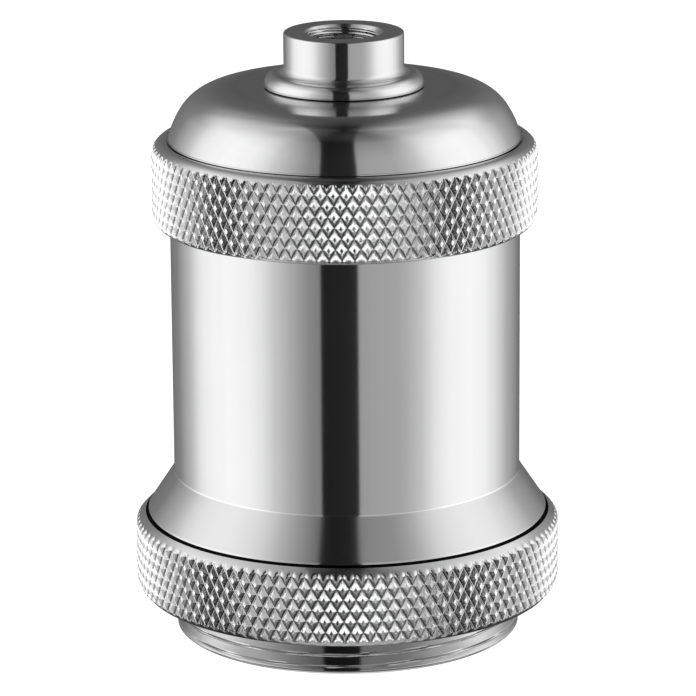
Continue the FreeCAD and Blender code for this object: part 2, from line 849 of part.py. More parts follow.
def make_shell_fixings():
    grip = S.lamp_sheet + pocket_floor - web_bottom + S.fixing_grip
    screw = slotted_screw("shell_fixing_form", S.fixing_radius, grip, S.fixing_head_radius,
                          S.fixing_head_height, S.fixing_slot_width, S.fixing_slot_depth)
    top = pocket_floor + S.fixing_grip
    return group("shell_fixing_screws", screw, [
        (0, S.fixing_offset, top, HEAD_DOWN),
        (0, -S.fixing_offset, top, HEAD_DOWN),
    ])


def make_anchor_nut():
    body = new_body("shell_anchor_nut")
    base = insert_top - S.nut_thickness
    raise_pad(body, "nut_plate", rectangle(as_size(0), -S.fixing_offset, S.nut_side, S.nut_side),
              base, S.nut_thickness)
    drill(body, "nut_hole", 0, -S.fixing_offset, S.fixing_radius + S.seat_clearance,
          insert_top, S.nut_thickness)
    return body


def make_retaining_ring():
    """Open spring ring that sits in the shell's groove and holds the insert down."""
    outer = groove_radius - S.seat_clearance
    inner = shell_bore - S.circlip_inset
    return turn(new_body("insert_retaining_ring"), [
        Step(inner, groove_bottom),
        Step(outer, groove_bottom),
        Step(outer, groove_bottom + S.circlip_width),
        Step(inner, groove_bottom + S.circlip_width),
    ], as_size(360) - S.circlip_opening)


def build():
    return [
        make_body_shell(),
        make_lower_ring(),
        make_upper_ring(),
        make_cap(),
        make_grub_screw(),
        make_earth_screw(),
        make_earth_saddle(),
        make_insert(),
        make_retaining_ring(),
        make_screw_shell(),
        make_shell_fixings(),
        make_anchor_nut(),
        make_centre_contact(),
        make_contact_screw(),
        make_terminal("live_terminal", S.contact_screw_offset, as_size(0)),
        make_terminal("neutral_terminal", as_size(0), neutral_centre),
        make_terminal_screws(),
    ]


def write_parts(nodes):
    DOC.recompute()
    for item in DOC.Objects:
        if "Invalid" in item.State or "Error" in item.State:
            raise RuntimeError(item.Name + " failed")
    os.makedirs("parts", exist_ok=True)
    for node in nodes:
        shape = node.Shape
        if shape.isNull() or not shape.isValid() or not shape.Solids:
            raise RuntimeError(node.Label + " has no valid solid")
        shape.exportStep("parts/" + node.Label + ".step")
        box = shape.BoundBox
        print(f"{node.Label}: {len(shape.Solids)} solid(s), {shape.Volume:.1f} mm3, "
              f"z {box.ZMin:.2f} to {box.ZMax:.2f}, x {box.XMin:.2f} to {box.XMax:.2f}")


write_parts(build())
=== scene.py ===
import math

import bpy
from mathutils import Matrix, Vector


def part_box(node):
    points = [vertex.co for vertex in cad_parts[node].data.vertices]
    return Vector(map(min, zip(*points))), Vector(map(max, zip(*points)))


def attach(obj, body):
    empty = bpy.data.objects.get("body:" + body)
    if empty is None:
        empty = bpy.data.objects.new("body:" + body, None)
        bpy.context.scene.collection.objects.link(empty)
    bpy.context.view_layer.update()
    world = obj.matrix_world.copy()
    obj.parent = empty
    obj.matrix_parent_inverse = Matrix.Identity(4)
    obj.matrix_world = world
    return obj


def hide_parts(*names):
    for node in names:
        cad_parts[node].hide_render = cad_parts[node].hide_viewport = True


bl_info = {
    "name": "Lamp Holder",
    "version": (1, 0, 0),
    "blender": (4, 5, 0),
    "location": "3D View > Sidebar > Lamp Holder",
    "description": "Turned and knurled pieces, finishes and studio of a screw lamp holder",
    "category": "Add Mesh",
}

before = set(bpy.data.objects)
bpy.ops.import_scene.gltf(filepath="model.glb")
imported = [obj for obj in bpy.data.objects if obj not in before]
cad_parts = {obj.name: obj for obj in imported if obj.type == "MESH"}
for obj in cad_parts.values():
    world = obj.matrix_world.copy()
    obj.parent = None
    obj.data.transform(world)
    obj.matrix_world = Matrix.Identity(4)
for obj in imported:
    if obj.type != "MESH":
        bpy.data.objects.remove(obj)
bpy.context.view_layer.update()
MM = 0.001
FULL_TURN = math.tau
RING_LOW, RING_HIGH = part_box("lower_ring")
UNION_LOW, UNION_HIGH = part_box("upper_ring")

# Fits and thicknesses in millimetres that several pieces share
RUNNING_FIT = 0.05
LOOSE_FIT = 0.3
CAP_FLANGE = 1.2
UNION_LID = 1.55

# How outlines are drawn: degrees between the points of an arc, where the points that hold an eased edge
# stand as a share of its ease, and the steepest edge in degrees that is shaded as a smooth one
ARC_STEP = 3.0
EASE_HOLD = 1.5
SMOOTH_EDGE = 28.0
SMOOTH_THREAD = 60.0


# Settings

def length(millimetres, name, description):
    return bpy.props.FloatProperty(name=name, description=description, default=millimetres * MM,
                                   min=0.0, precision=5, unit="LENGTH")


def share(value, name, description):
    return bpy.props.FloatProperty(name=name, description=description, default=value,
                                   min=0.0, max=1.0, subtype="FACTOR")


def turn_of(degrees, name, description):
    return bpy.props.FloatProperty(name=name, description=description,
                                   default=math.radians(degrees), subtype="ANGLE")


def number(value, name, description):
    return bpy.props.IntProperty(name=name, description=description, default=value, min=1)


def colour(red, green, blue, name, description):
    return bpy.props.FloatVectorProperty(name=name, description=description, subtype="COLOR",
                                         size=3, min=0.0, max=1.0, default=(red, green, blue))


class ShellSizes(bpy.types.PropertyGroup):
    body_radius: length(23.5, "Body radius", "Outer radius of the plain cylinder")
    wall: length(1.5, "Wall", "Wall of the body above the insert's ledge")
    spigot_step: length(0.1, "Spigot step", "How far the spigot stands back from the cylinder")
    spigot_length: length(15.0, "Spigot length", "Height of the flange's underside")
    spigot_edge: length(0.5, "Spigot edge", "Round of the spigot's lower edge")
    flange_overhang: length(3.6, "Flange overhang", "How far the flange stands out")
    flange_rim: length(1.65, "Flange rim", "Height of the flange's rim")
    rim_lip: length(0.25, "Rim lip", "Height of the rim's bright lip")
    undercut: length(0.6, "Undercut", "How far the rim stands back below its lip")
    flare_height: length(5.4, "Flare height", "Height of the cone above the flange")
    cylinder_length: length(35.05, "Cylinder length", "Length of the plain cylinder")
    band_step: length(1.0, "Band step", "How far the upper threaded band stands out")
    band_length: length(7.9, "Band length", "Height of the threaded band")
    ledge: length(1.3, "Ledge", "Width of the ledge that the insert sits on")
    ledge_height: length(30.0, "Ledge height", "Height of the ledge above the rim")
    spigot_pitch: length(1.6, "Spigot pitch", "Pitch of the spigot's thread")
    spigot_depth: length(0.2, "Spigot thread depth", "Depth of the spigot's thread")
    band_pitch: length(1.5, "Band pitch", "Pitch of the union thread")
    band_depth: length(0.42, "Band thread depth", "Depth of the union thread")


class CapSizes(bpy.types.PropertyGroup):
    rim_radius: length(23.65, "Rim radius", "Radius of the dome's foot inside the union ring")
    wall: length(1.6, "Wall", "Wall of the dome")
    bead: length(0.1, "Bead", "How far the bead at the dome's foot stands out")
    bead_height: length(0.28, "Bead height", "Height of the bead above the union ring")
    side_angle: turn_of(75.6, "Side angle", "Slope at the dome's foot")
    knee_angle: turn_of(56.8, "Knee angle", "Slope where the knee begins")
    crown_angle: turn_of(9.5, "Crown angle", "Slope where the crown begins")
    side_round: length(13.1, "Side round", "Round of the dome's side")
    knee_round: length(6.4, "Knee round", "Round of the dome's knee")
    crown_round: length(23.9, "Crown round", "Round of the dome's crown")
    collar_radius: length(10.7, "Collar radius", "Radius of the collar below the neck")
    collar_round: length(1.6, "Collar round", "Round of the collar")
    collar_fillet: length(1.05, "Collar fillet", "Hollow between the collar and the neck")
    collar_foot: length(0.3, "Collar foot", "Plain foot below the collar's round")
    neck_radius: length(8.05, "Neck radius", "Outer radius of the neck")
    neck_length: length(4.35, "Neck length", "Height of the neck above its fillet")
    entry_radius: length(4.46, "Entry radius", "Minor radius of the entry's thread")
    entry_mouth: length(0.8, "Entry mouth", "Chamfer of the entry's mouth")
    entry_pitch: length(1.0, "Entry pitch", "Pitch of the entry's thread")
    entry_depth: length(0.54, "Entry thread depth", "Depth of the entry's thread")


class KnurlSizes(bpy.types.PropertyGroup):
    depth: length(0.62, "Depth", "Height of a whole diamond above its groove")
    flat: share(0.8, "Flat", "Height at which the diamonds' tips are flat")
    groove: share(0.06, "Groove", "Height up to which the grooves are rounded")
    worn_tip: share(0.72, "Worn tip", "Height from which the tips are worn")
    fineness: number(10, "Fineness", "Mesh cells across a diamond")
    upper_wall: length(1.4, "Upper wall", "From the union ring's bore to its tips")
    upper_count: number(96, "Upper count", "Diamonds round the union ring")
    upper_row: length(2.886, "Upper row", "Height of a diamond of the union ring")
    upper_turn: turn_of(-89.6, "Upper turn", "Direction of a diamond in the union ring's top row")
    lower_wall: length(1.5, "Lower wall", "From the shade ring's recess to its tips")
    lower_count: number(106, "Lower count", "Diamonds round the shade ring")
    lower_row: length(3.0, "Lower row", "Height of a diamond of the shade ring")
    lower_turn: turn_of(-91.3, "Lower turn", "Direction of a diamond in the shade ring's top row")
    lean: turn_of(-1.6, "Lean", "Slant of the columns of diamonds")


class LampThreadSizes(bpy.types.PropertyGroup):
    radius: length(12.2, "Thread radius", "Inner radius at the crests of the lamp thread")
    depth: length(1.1, "Thread depth", "Depth of the rolled lamp thread")
    pitch: length(3.629, "Thread pitch", "Pitch of the lamp thread")
    sheet: length(0.4, "Sheet", "Thickness of the screw shell")
    turns: number(5, "Turns", "Turns of the lamp thread")


class Finishes(bpy.types.PropertyGroup):
    plate: colour(0.62, 0.62, 0.625, "Plate", "Bright plate of the outer pieces")
    plate_roughness: share(0.12, "Plate roughness", "Roughness of the turned plate")
    plate_grain: share(0.85, "Plate grain", "How strongly the turning lines stretch the gloss")
    cut_roughness: share(0.19, "Cut roughness", "Roughness of the knurl's faces")
    steel: colour(0.6, 0.6, 0.61, "Steel", "Zinc plate of the small screws")
    nickel: colour(0.68, 0.66, 0.62, "Nickel", "Rolled screw shell")
    brass: colour(0.78, 0.56, 0.24, "Brass", "Terminals, nut and contact")
    ceramic: colour(0.86, 0.85, 0.81, "Ceramic", "White glaze of the insert")


class StudioSettings(bpy.types.PropertyGroup):
    distance: bpy.props.FloatProperty(
        name="Distance", description="From the camera to the point it looks at", default=0.6, unit="LENGTH")
    look_height: length(38.5, "Look height", "Height of the point that the camera looks at")
    pitch: turn_of(15.3, "Pitch", "How far the camera looks down")
    roll: turn_of(0.43, "Roll", "How far the camera leans to its right")
    lens: bpy.props.FloatProperty(
        name="Lens", description="Focal length in millimetres for a 36 mm frame", default=229.3)
    shift: bpy.props.FloatProperty(
        name="Shift", description="Sideways shift of the frame", default=0.0029)
    brightness: bpy.props.FloatProperty(
        name="Brightness", description="Level of the studio's soft walls", default=1.51, min=0.0)


# Nodes

class Value:
    """A socket that takes part in sums: every sign adds its Math node to the tree."""

    def __init__(self, graph, socket):
        self.graph = graph
        self.socket = socket

    def math(self, operation, *others):
        inputs = dict(enumerate((self,) + others))
        return self.graph.node("ShaderNodeMath", inputs, operation=operation)

    def __add__(self, other):
        return self.math("ADD", other)

    def __radd__(self, other):
        return self.math("ADD", other)

    def __sub__(self, other):
        return self.math("SUBTRACT", other)

    def __rsub__(self, other):
        return (self * -1.0) + other

    def __mul__(self, other):
        return self.math("MULTIPLY", other)

    def __truediv__(self, other):
        return self.math("DIVIDE", other)


class Graph:
    """A node tree that is filled by one method."""

    def __init__(self, tree):
        self.tree = tree
        tree.nodes.clear()

    def node(self, kind, inputs=None, out=0, stops=None, **settings):
        """Add a node: its settings first, then its ramp, then its values and links."""
        item = self.tree.nodes.new(kind)
        for name, setting in settings.items():
            setattr(item, name, setting)
        if stops:
            ramp = item.color_ramp
            while len(ramp.elements) < len(stops):
                ramp.elements.new(0.5)
            for element, (place, shade) in zip(ramp.elements, stops):
                element.position = place
                element.color = shade if isinstance(shade, tuple) else (shade, shade, shade, 1.0)
        for name, value in (inputs or {}).items():
            if isinstance(value, Value):
                self.tree.links.new(value.socket, item.inputs[name])
            else:
                item.inputs[name].default_value = value
        return Value(self, item.outputs[out]) if item.outputs else item

    def split(self, vector):
        first = self.node("ShaderNodeSeparateXYZ", {0: vector})
        outputs = first.socket.node.outputs
        return [Value(self, outputs[index]) for index in range(3)]

    def smooth(self, value, low, high):
        return self.node("ShaderNodeMapRange", {"Value": value, "From Min": low, "From Max": high},
                         interpolation_type="SMOOTHSTEP")

    def tint(self, factor, first, second):
        """Colour mix."""
        return self.node("ShaderNodeMix", {0: factor, 6: first, 7: second}, out=2, data_type="RGBA")


def toned(shade, factor):
    return (shade[0] * factor, shade[1] * factor, shade[2] * factor, 1.0)


# Turned outlines

class Corner:
    """A corner of an outline in millimetres: radius, height, the round of the run that leads to it,
    the ease of its edge, and how many equal pieces a straight run is divided into."""

    def __init__(self, radius, height, round_of_run=0.0, ease=0.0, pieces=1):
        self.place = Vector((radius, height))
        self.round_of_run = round_of_run
        self.ease = ease
        self.pieces = pieces


def run_points(start, corner):
    """Points after start up to the corner, along a straight run or an arc."""
    end = corner.place
    if not corner.round_of_run:
        return [start.lerp(end, step / corner.pieces) for step in range(1, corner.pieces + 1)]
    radius = abs(corner.round_of_run)
    side = math.copysign(1.0, corner.round_of_run)
    chord = end - start
    left = Vector((-chord.y, chord.x)).normalized()
    to_centre = math.sqrt(max(radius ** 2 - (chord.length / 2) ** 2, 0.0))
    centre = (start + end) / 2 - left * side * to_centre
    first = math.atan2(start.y - centre.y, start.x - centre.x)
    sweep = 2 * math.asin(min(chord.length / 2 / radius, 1.0)) * -side
    steps = max(3, round(math.degrees(abs(sweep)) / ARC_STEP))
    return [centre + radius * Vector((math.cos(first + sweep * step / steps),
                                      math.sin(first + sweep * step / steps)))
            for step in range(1, steps + 1)]


def along(points, index, step, reach):
    """The point at the given reach from points[index] along the loop, and how many points it passes."""
    passed = 0
    while True:
        place = points[index]
        index = (index + step) % len(points)
        gap = (points[index] - place).length
        if gap > reach:
            return place.lerp(points[index], reach / gap), passed
        reach -= gap
        passed += 1


def trace_open(corners):
    """Open line through the corners, with its straight runs divided."""
    points = [corners[0].place]
    for before, corner in zip(corners, corners[1:]):
        points.extend(run_points(before.place, corner))
    return points


def trace(corners):
    """Closed outline with its arcs drawn and its eased edges rounded."""
    points, eases = [], {}
    for index, corner in enumerate(corners):
        points.extend(run_points(corners[index - 1].place, corner))
        if corner.ease:
            eases[len(points) - 1] = corner.ease
    curves, dropped = {}, set()
    for index, ease in eases.items():
        corner = points[index]
        before, _ = along(points, index, -1, ease)
        after, _ = along(points, index, 1, ease)
        hold_before, passed_before = along(points, index, -1, ease * EASE_HOLD)
        hold_after, passed_after = along(points, index, 1, ease * EASE_HOLD)
        curve = [before * (1 - t) ** 2 + corner * 2 * t * (1 - t) + after * t ** 2
                 for t in (0.0, 0.25, 0.5, 0.75, 1.0)]
        curves[index] = [hold_before, *curve, hold_after]
        dropped.update((index + step) % len(points)
                       for step in range(-passed_before, passed_after + 1))
    drawn = []
    for index, point in enumerate(points):
        if index in curves:
            drawn.extend(curves[index])
        elif index not in dropped:
            drawn.append(point)
    return drawn


def loop_points(point, count):
    """Points of a loop about the axis through a point of an outline in millimetres."""
    return [(point.x * MM * math.cos(angle), point.x * MM * math.sin(angle), point.y * MM)
            for angle in (FULL_TURN * index / count for index in range(count))]


def turned_mesh(name, outline, segments):
    """Revolve a closed outline in millimetres about the axis."""
    verts, faces = [], []
    for point in outline:
        verts.extend(loop_points(point, segments))
    for row in range(len(outline)):
        low = row * segments
        high = (row + 1) % len(outline) * segments
        for index in range(segments):
            after = (index + 1) % segments
            faces.append((low + index, low + after, high + after, high + index))
    return new_piece(name, verts, faces)


def new_piece(name, verts, faces):
    mesh = bpy.data.meshes.new(name)
    mesh.from_pydata(verts, [], faces)
    mesh.validate()
    piece = bpy.data.objects.new(name, mesh)
    bpy.context.scene.collection.objects.link(piece)
    return piece


def finish_shading(piece, degrees=SMOOTH_EDGE):
    """Shade the piece smooth except along its sharper edges."""
    piece.data.polygons.foreach_set("use_smooth", [True] * len(piece.data.polygons))
    piece.data.set_sharp_from_angle(angle=math.radians(degrees))
    piece.data.update()


def settle(piece):
    """Turn the evaluated modifiers into the piece's plain mesh."""
    graph = bpy.context.evaluated_depsgraph_get()
    made = bpy.data.meshes.new_from_object(piece.evaluated_get(graph), depsgraph=graph)
    old = piece.data
    piece.modifiers.clear()
    piece.data = made
    made.name = piece.name
    bpy.data.meshes.remove(old)


def run_tree(piece, tree, values):
    """Run a Geometry Nodes tree on the piece with its inputs set by socket identifier."""
    modifier = piece.modifiers.new(tree.name, "NODES")
    modifier.node_group = tree
    for item in tree.interface.items_tree:
        if item.item_type == "SOCKET" and item.in_out == "INPUT" and item.name in values:
            modifier[item.identifier] = values[item.name]
    settle(piece)


def new_tree(name, inputs):
    """Empty Geometry Nodes tree with named inputs, and its values by name."""
    tree = bpy.data.node_groups.new(name, "GeometryNodeTree")
    tree.interface.new_socket("Geometry", in_out="OUTPUT", socket_type="NodeSocketGeometry")
    tree.interface.new_socket("Geometry", in_out="INPUT", socket_type="NodeSocketGeometry")
    for label, kind, default in inputs:
        socket = tree.interface.new_socket(label, in_out="INPUT", socket_type=kind)
        if default is not None:
            socket.default_value = default
    graph = Graph(tree)
    entry = graph.node("NodeGroupInput").socket.node
    values = {socket.name: Value(graph, socket) for socket in entry.outputs if socket.name}
    return tree, graph, values


def end_tree(graph, geometry, material, cut=None, cut_material=None):
    """Realize Instances, then the materials, then the output."""
    real = graph.node("GeometryNodeRealizeInstances", {"Geometry": geometry})
    done = graph.node("GeometryNodeSetMaterial", {"Geometry": real, "Material": material})
    if cut is not None:
        done = graph.node("GeometryNodeSetMaterial",
                          {"Geometry": done, "Selection": cut, "Material": cut_material})
    graph.node("NodeGroupOutput", {"Geometry": done})


def polar(graph):
    """Place, radius, direction and height of every point."""
    place = graph.node("GeometryNodeInputPosition")
    x, y, z = graph.split(place)
    radius = (x * x + y * y).math("SQRT")
    return place, radius, y.math("ARCTAN2", x), z


def moved_outward(graph, geometry, place, radius, wanted, selection=None):
    """Set every point to the wanted radius."""
    factor = wanted / radius
    x, y, z = graph.split(place)
    target = graph.node("ShaderNodeCombineXYZ", {"X": x * factor, "Y": y * factor, "Z": z})
    inputs = {"Geometry": geometry, "Position": target}
    if selection is not None:
        inputs["Selection"] = selection
    return graph.node("GeometryNodeSetPosition", inputs)


def thread_tree(name, kind):
    """Thread on a turned wall. kind is cut (outside wall), bored (inside wall) or rolled (both walls)."""
    floats = [("Pitch", 1.5 * MM), ("Depth", 0.4 * MM), ("Low", 0.0), ("High", 0.01), ("Fade", 0.5 * MM),
              ("Crest", 0.02), ("Reach", 1.0 * MM), ("Phase", 0.0), ("Crest share", 0.3),
              ("Root share", 0.3)]
    tree, graph, value = new_tree(name, [(label, "NodeSocketFloat", default) for label, default in floats]
                                  + [("Finish", "NodeSocketMaterial", None)])
    place, radius, direction, z = polar(graph)
    turn = z / value["Pitch"] - direction / FULL_TURN + value["Phase"]
    swing = turn.math("PINGPONG", 0.5) * 2.0
    groove = graph.smooth(swing, value["Crest share"], 1.0 - value["Root share"])
    fade_in = graph.smooth(z, value["Low"], value["Low"] + value["Fade"])
    fade_out = 1.0 - graph.smooth(z, value["High"] - value["Fade"], value["High"])
    cut = groove * fade_in * fade_out * value["Depth"]
    if kind == "cut":
        wanted = radius.math("MINIMUM", value["Crest"] - cut)
    elif kind == "bored":
        wanted = radius.math("MAXIMUM", value["Crest"] + cut)
    else:
        wanted = radius + cut
    near = (radius - value["Crest"]).math("ABSOLUTE").math("LESS_THAN", value["Reach"])
    inside = near * z.math("GREATER_THAN", value["Low"]) * z.math("LESS_THAN", value["High"])
    shaped = moved_outward(graph, value["Geometry"], place, radius, wanted, inside)
    end_tree(graph, shaped, value["Finish"])
    return tree


def diamond_height(direction, z, turn, count, tip_height, row_height):
    """Height of the knurl's whole diamonds: 0 along the grooves, 1 at the tips."""
    across = (direction - turn) * count / FULL_TURN
    rise = (z - tip_height) / row_height
    first = 1.0 - (across + rise).math("PINGPONG", 0.5) * 2.0
    second = 1.0 - (across - rise).math("PINGPONG", 0.5) * 2.0
    return first.math("MINIMUM", second)


def knurl_tree():
    """Diamonds cut into the plain band of a ring, down to a root and up to a flat."""
    floats = [("Count", 96.0), ("Row height", 3.0 * MM), ("Tip height", 0.065), ("Root", 0.025),
              ("Depth", 0.62 * MM), ("Flat", 0.8), ("Turn", -1.57), ("Lean", 0.0)]
    tree, graph, value = new_tree("Cut knurl", [(label, "NodeSocketFloat", default)
                                                for label, default in floats]
                                  + [("Finish", "NodeSocketMaterial", None),
                                     ("Cut finish", "NodeSocketMaterial", None)])
    place, radius, direction, z = polar(graph)
    peak = diamond_height(direction, z, value["Turn"], value["Count"], value["Tip height"],
                          value["Row height"])
    limit = value["Root"] + peak.math("MINIMUM", value["Flat"]) * value["Depth"]
    least_cut = 0.002 * MM
    is_cut = (radius - limit).math("GREATER_THAN", least_cut)
    kept = graph.node("GeometryNodeCaptureAttribute", {"Geometry": value["Geometry"]})
    capture = kept.socket.node
    capture.capture_items.new("BOOLEAN", "Cut")
    graph.tree.links.new(is_cut.socket, capture.inputs["Cut"])
    cut = Value(graph, capture.outputs["Cut"])
    shaped = moved_outward(graph, kept, place, radius, radius.math("MINIMUM", limit))
    lean = (z - value["Tip height"]) * value["Lean"].math("TANGENT") / value["Root"]
    spin = graph.node("ShaderNodeCombineXYZ", {"Z": lean})
    leaned = graph.node("GeometryNodeSetPosition", {
        "Geometry": shaped,
        "Position": graph.node("ShaderNodeVectorRotate",
                               {"Vector": graph.node("GeometryNodeInputPosition"), "Rotation": spin},
                               rotation_type="EULER_XYZ")})
    end_tree(graph, leaned, value["Finish"], cut, value["Cut finish"])
    return tree


def ring_mesh(name, outer, grip, inner, segments, ratio, fineness):
    """Ring with a fine outer wall, split along the knurl's slopes on its grip, and a coarse inner wall.

    Both walls run from the top down to the bottom and back up. grip holds the first and last
    of the outer rows on the knurl's lattice, and the first one's place in the lattice.
    """
    verts, faces = [], []

    def add_loop(point, count):
        first = len(verts)
        verts.extend(loop_points(point, count))
        return first

    grip_first, grip_last, lattice_first = grip
    fine = [add_loop(point, segments) for point in outer]
    coarse = [add_loop(point, segments // ratio) for point in inner]
    for row in range(len(outer) - 1):
        above, below = fine[row], fine[row + 1]
        level = row - grip_first + lattice_first
        for index in range(segments):
            after = (index + 1) % segments
            corners = (above + index, below + index, below + after, above + after)
            if not grip_first <= row < grip_last:
                faces.append(corners)
                continue
            falling = (index + level + 1) % fineness
            rising = (index - level) % fineness
            if min(falling, fineness - falling) < min(rising, fineness - rising):
                faces.append((corners[0], corners[1], corners[3]))
                faces.append((corners[1], corners[2], corners[3]))
            else:
                faces.append((corners[0], corners[1], corners[2]))
                faces.append((corners[0], corners[2], corners[3]))
    small = segments // ratio
    for row in range(len(inner) - 1):
        for index in range(small):
            after = (index + 1) % small
            faces.append((coarse[row] + index, coarse[row + 1] + index,
                          coarse[row + 1] + after, coarse[row] + after))
    for index in range(small):
        after = (index + 1) % small
        bottom = [fine[-1] + (index * ratio + step) % segments for step in range(ratio + 1)]
        faces.append(tuple(reversed(bottom)) + (coarse[0] + index, coarse[0] + after))
        top = [fine[0] + (index * ratio + step) % segments for step in range(ratio + 1)]
        faces.append(tuple(top) + (coarse[-1] + after, coarse[-1] + index))
    return new_piece(name, verts, faces)


# Finishes

def new_material(name):
    material = bpy.data.materials.new(name)
    material.use_nodes = True
    return material, Graph(material.node_tree)


def object_polar(graph):
    """Place on the piece, radius and height."""
    place = graph.node("ShaderNodeTexCoord", out=3)
    x, y, z = graph.split(place)
    return place, (x * x + y * y).math("SQRT"), z


def close_material(graph, sockets, bump=None):
    """Principled surface with its constants on its own sockets."""
    if bump is not None:
        height, strength, reach = bump
        sockets = dict(sockets, Normal=graph.node("ShaderNodeBump", {
            "Height": height, "Strength": strength, "Distance": reach}))
    shader = graph.node("ShaderNodeBsdfPrincipled", sockets)
    graph.node("ShaderNodeOutputMaterial", {"Surface": shader})


def noise(graph, vector, scale, detail=2.0, dimensions="3D"):
    return graph.node("ShaderNodeTexNoise", {"Vector": vector, "Scale": scale, "Detail": detail},
                      noise_dimensions=dimensions)


# Scales of the finishes' noise, in waves a metre
FINE_LINES = 9000.0
BROAD_LINES = 1400.0
HAZE = 90.0
DENTS = 2800.0

# Zones of painted shade and painted highlight on the turned plate: inner and outer radius, lower and upper
# height in millimetres, how much of its brightness stays (below one a painted shade, above one a painted
# highlight), and how softly the zone ends outward
NARROW = 0.03
PAINTED_LIGHT_ZONES = {
    "painted shade in the gap under the flange": (26.0, 27.46, 14.7, 16.39, 0.03, NARROW),
    "painted shade in the gap under the collar": (10.3, 10.62, 74.79, 74.94, 0.03, NARROW),
    "painted shade on the crown round the collar": (0.0, 15.0, 70.0, 74.79, 0.45, 3.0),
    # painted shade on the flare
    "flare": (23.55, 27.06, 16.7, 21.95, 0.89, NARROW),
    "painted highlight on the crease above the flare": (23.3, 23.75, 21.99, 22.12, 1.25, NARROW),
}


def within(graph, value, low, high, soft=NARROW):
    """One between two lengths in millimetres, with a narrow first edge and a soft last edge."""
    return (graph.smooth(value, (low - NARROW) * MM, (low + NARROW) * MM)
            * (1.0 - graph.smooth(value, (high - soft) * MM, (high + soft) * MM)))


def turned_plate(finishes):
    """Bright plate with fine turning lines that run round the axis. Painted shade darkens its gaps, the
    crown round the collar and the flare, and makes them rougher; a painted highlight lightens the crease
    above the flare.
    """
    material, graph = new_material("turned_plate")
    place, radius, height = object_polar(graph)
    rings = graph.node("ShaderNodeCombineXYZ", {"X": radius, "Y": height})
    fine_lines = noise(graph, rings, FINE_LINES, 2.0, "2D")
    broad_lines = noise(graph, rings, BROAD_LINES, 2.0, "2D")
    haze = noise(graph, place, HAZE, 3.0)
    # tone gathers the painted shade and painted highlight of the zones and multiplies the plate's colour
    tone = 1.0
    for inner, outer, low, high, stays, soft in PAINTED_LIGHT_ZONES.values():
        zone = within(graph, radius, inner, outer, soft) * within(graph, height, low, high)
        tone = zone * (stays - 1.0) + tone
    bright = graph.tint(haze, toned(finishes.plate, 0.97), toned(finishes.plate, 1.03))
    shade = graph.node("ShaderNodeMix", {0: 1.0, 6: bright, 7: tone}, out=2, data_type="RGBA",
                       blend_type="MULTIPLY")
    # dull: how much painted shade a place holds, which also raises its roughness there
    dull = (1.0 - tone).math("MAXIMUM", 0.0)
    roughness = fine_lines * 0.03 + haze * 0.03 + dull * 0.4 + (finishes.plate_roughness - 0.03)
    lines = fine_lines * 0.35 + broad_lines * 0.65
    close_material(graph, {
        "Base Color": shade, "Metallic": 1.0, "Roughness": roughness,
        "Anisotropic": finishes.plate_grain, "Anisotropic Rotation": 0.25,
    }, (lines, 0.3, 0.01 * MM))
    return material


def cut_plate(finishes, name, form, knurl, count, turn):
    """The knurl's faces: uneven from the rolling, with rounded grooves and worn tips.

    The bump adds the worn diamond's height and takes the mesh's own away. Faces that look down carry
    painted shade in the grooves and painted light towards the tips; faces that look up are painted lighter.
    """
    material, graph = new_material(name)
    painted_groove_shade, painted_tip_light, painted_top_light = (toned(finishes.plate, factor) for factor in (0.15, 1.45, 1.25))
    dent_depth = 0.05 * MM
    place, _, height = object_polar(graph)
    x, y, _ = graph.split(place)
    tip_height, row_height = form.tip_height * MM, form.row_height * MM
    lean = (height - tip_height) * (math.tan(knurl.lean) / (form.root * MM))
    peak = diamond_height(y.math("ARCTAN2", x) - lean, height, turn, count, tip_height, row_height)
    worn = (peak.math("MAXIMUM", knurl.groove).math("MINIMUM", knurl.worn_tip)
            - peak.math("MINIMUM", knurl.flat))
    half_width = 0.5 / math.hypot(count / (FULL_TURN * form.root * MM), 1.0 / row_height)
    along_face = math.hypot(1.0, knurl.depth / half_width) * knurl.depth
    raised = graph.smooth(peak, 0.0, 0.5)
    polished = peak.math("LESS_THAN", knurl.groove) + peak.math("GREATER_THAN", knurl.worn_tip)
    upward = graph.smooth(graph.split(graph.node("ShaderNodeTexCoord", out=1))[2], -0.12, 0.12)
    uneven = noise(graph, place, DENTS, 2.0)
    # painted shade in the grooves and painted light near the tips of faces that look down, painted light on
    # faces that look up
    shade = graph.tint(upward, graph.tint(raised, painted_groove_shade, painted_tip_light), painted_top_light)
    roughness = uneven * 0.16 - polished * 0.15 + (finishes.cut_roughness - 0.08)
    close_material(graph, {"Base Color": shade, "Metallic": 0.96, "Roughness": roughness},
                   (worn * along_face + uneven * dent_depth, 1.0, 1.0))
    return material


def plain_metal(name, shade, roughness, scale):
    """Plated or bare metal with a faint grain and dull patches."""
    material, graph = new_material(name)
    place = graph.node("ShaderNodeTexCoord", out=3)
    grain = noise(graph, place, scale, 4.0)
    patches = noise(graph, place, scale / 12.0, 3.0)
    tone = graph.tint(patches, toned(shade, 0.86), toned(shade, 1.05))
    close_material(graph, {"Base Color": tone, "Metallic": 1.0,
                           "Roughness": patches * 0.14 + (roughness - 0.07)},
                   (grain, 0.18, 0.02 * MM))
    return material


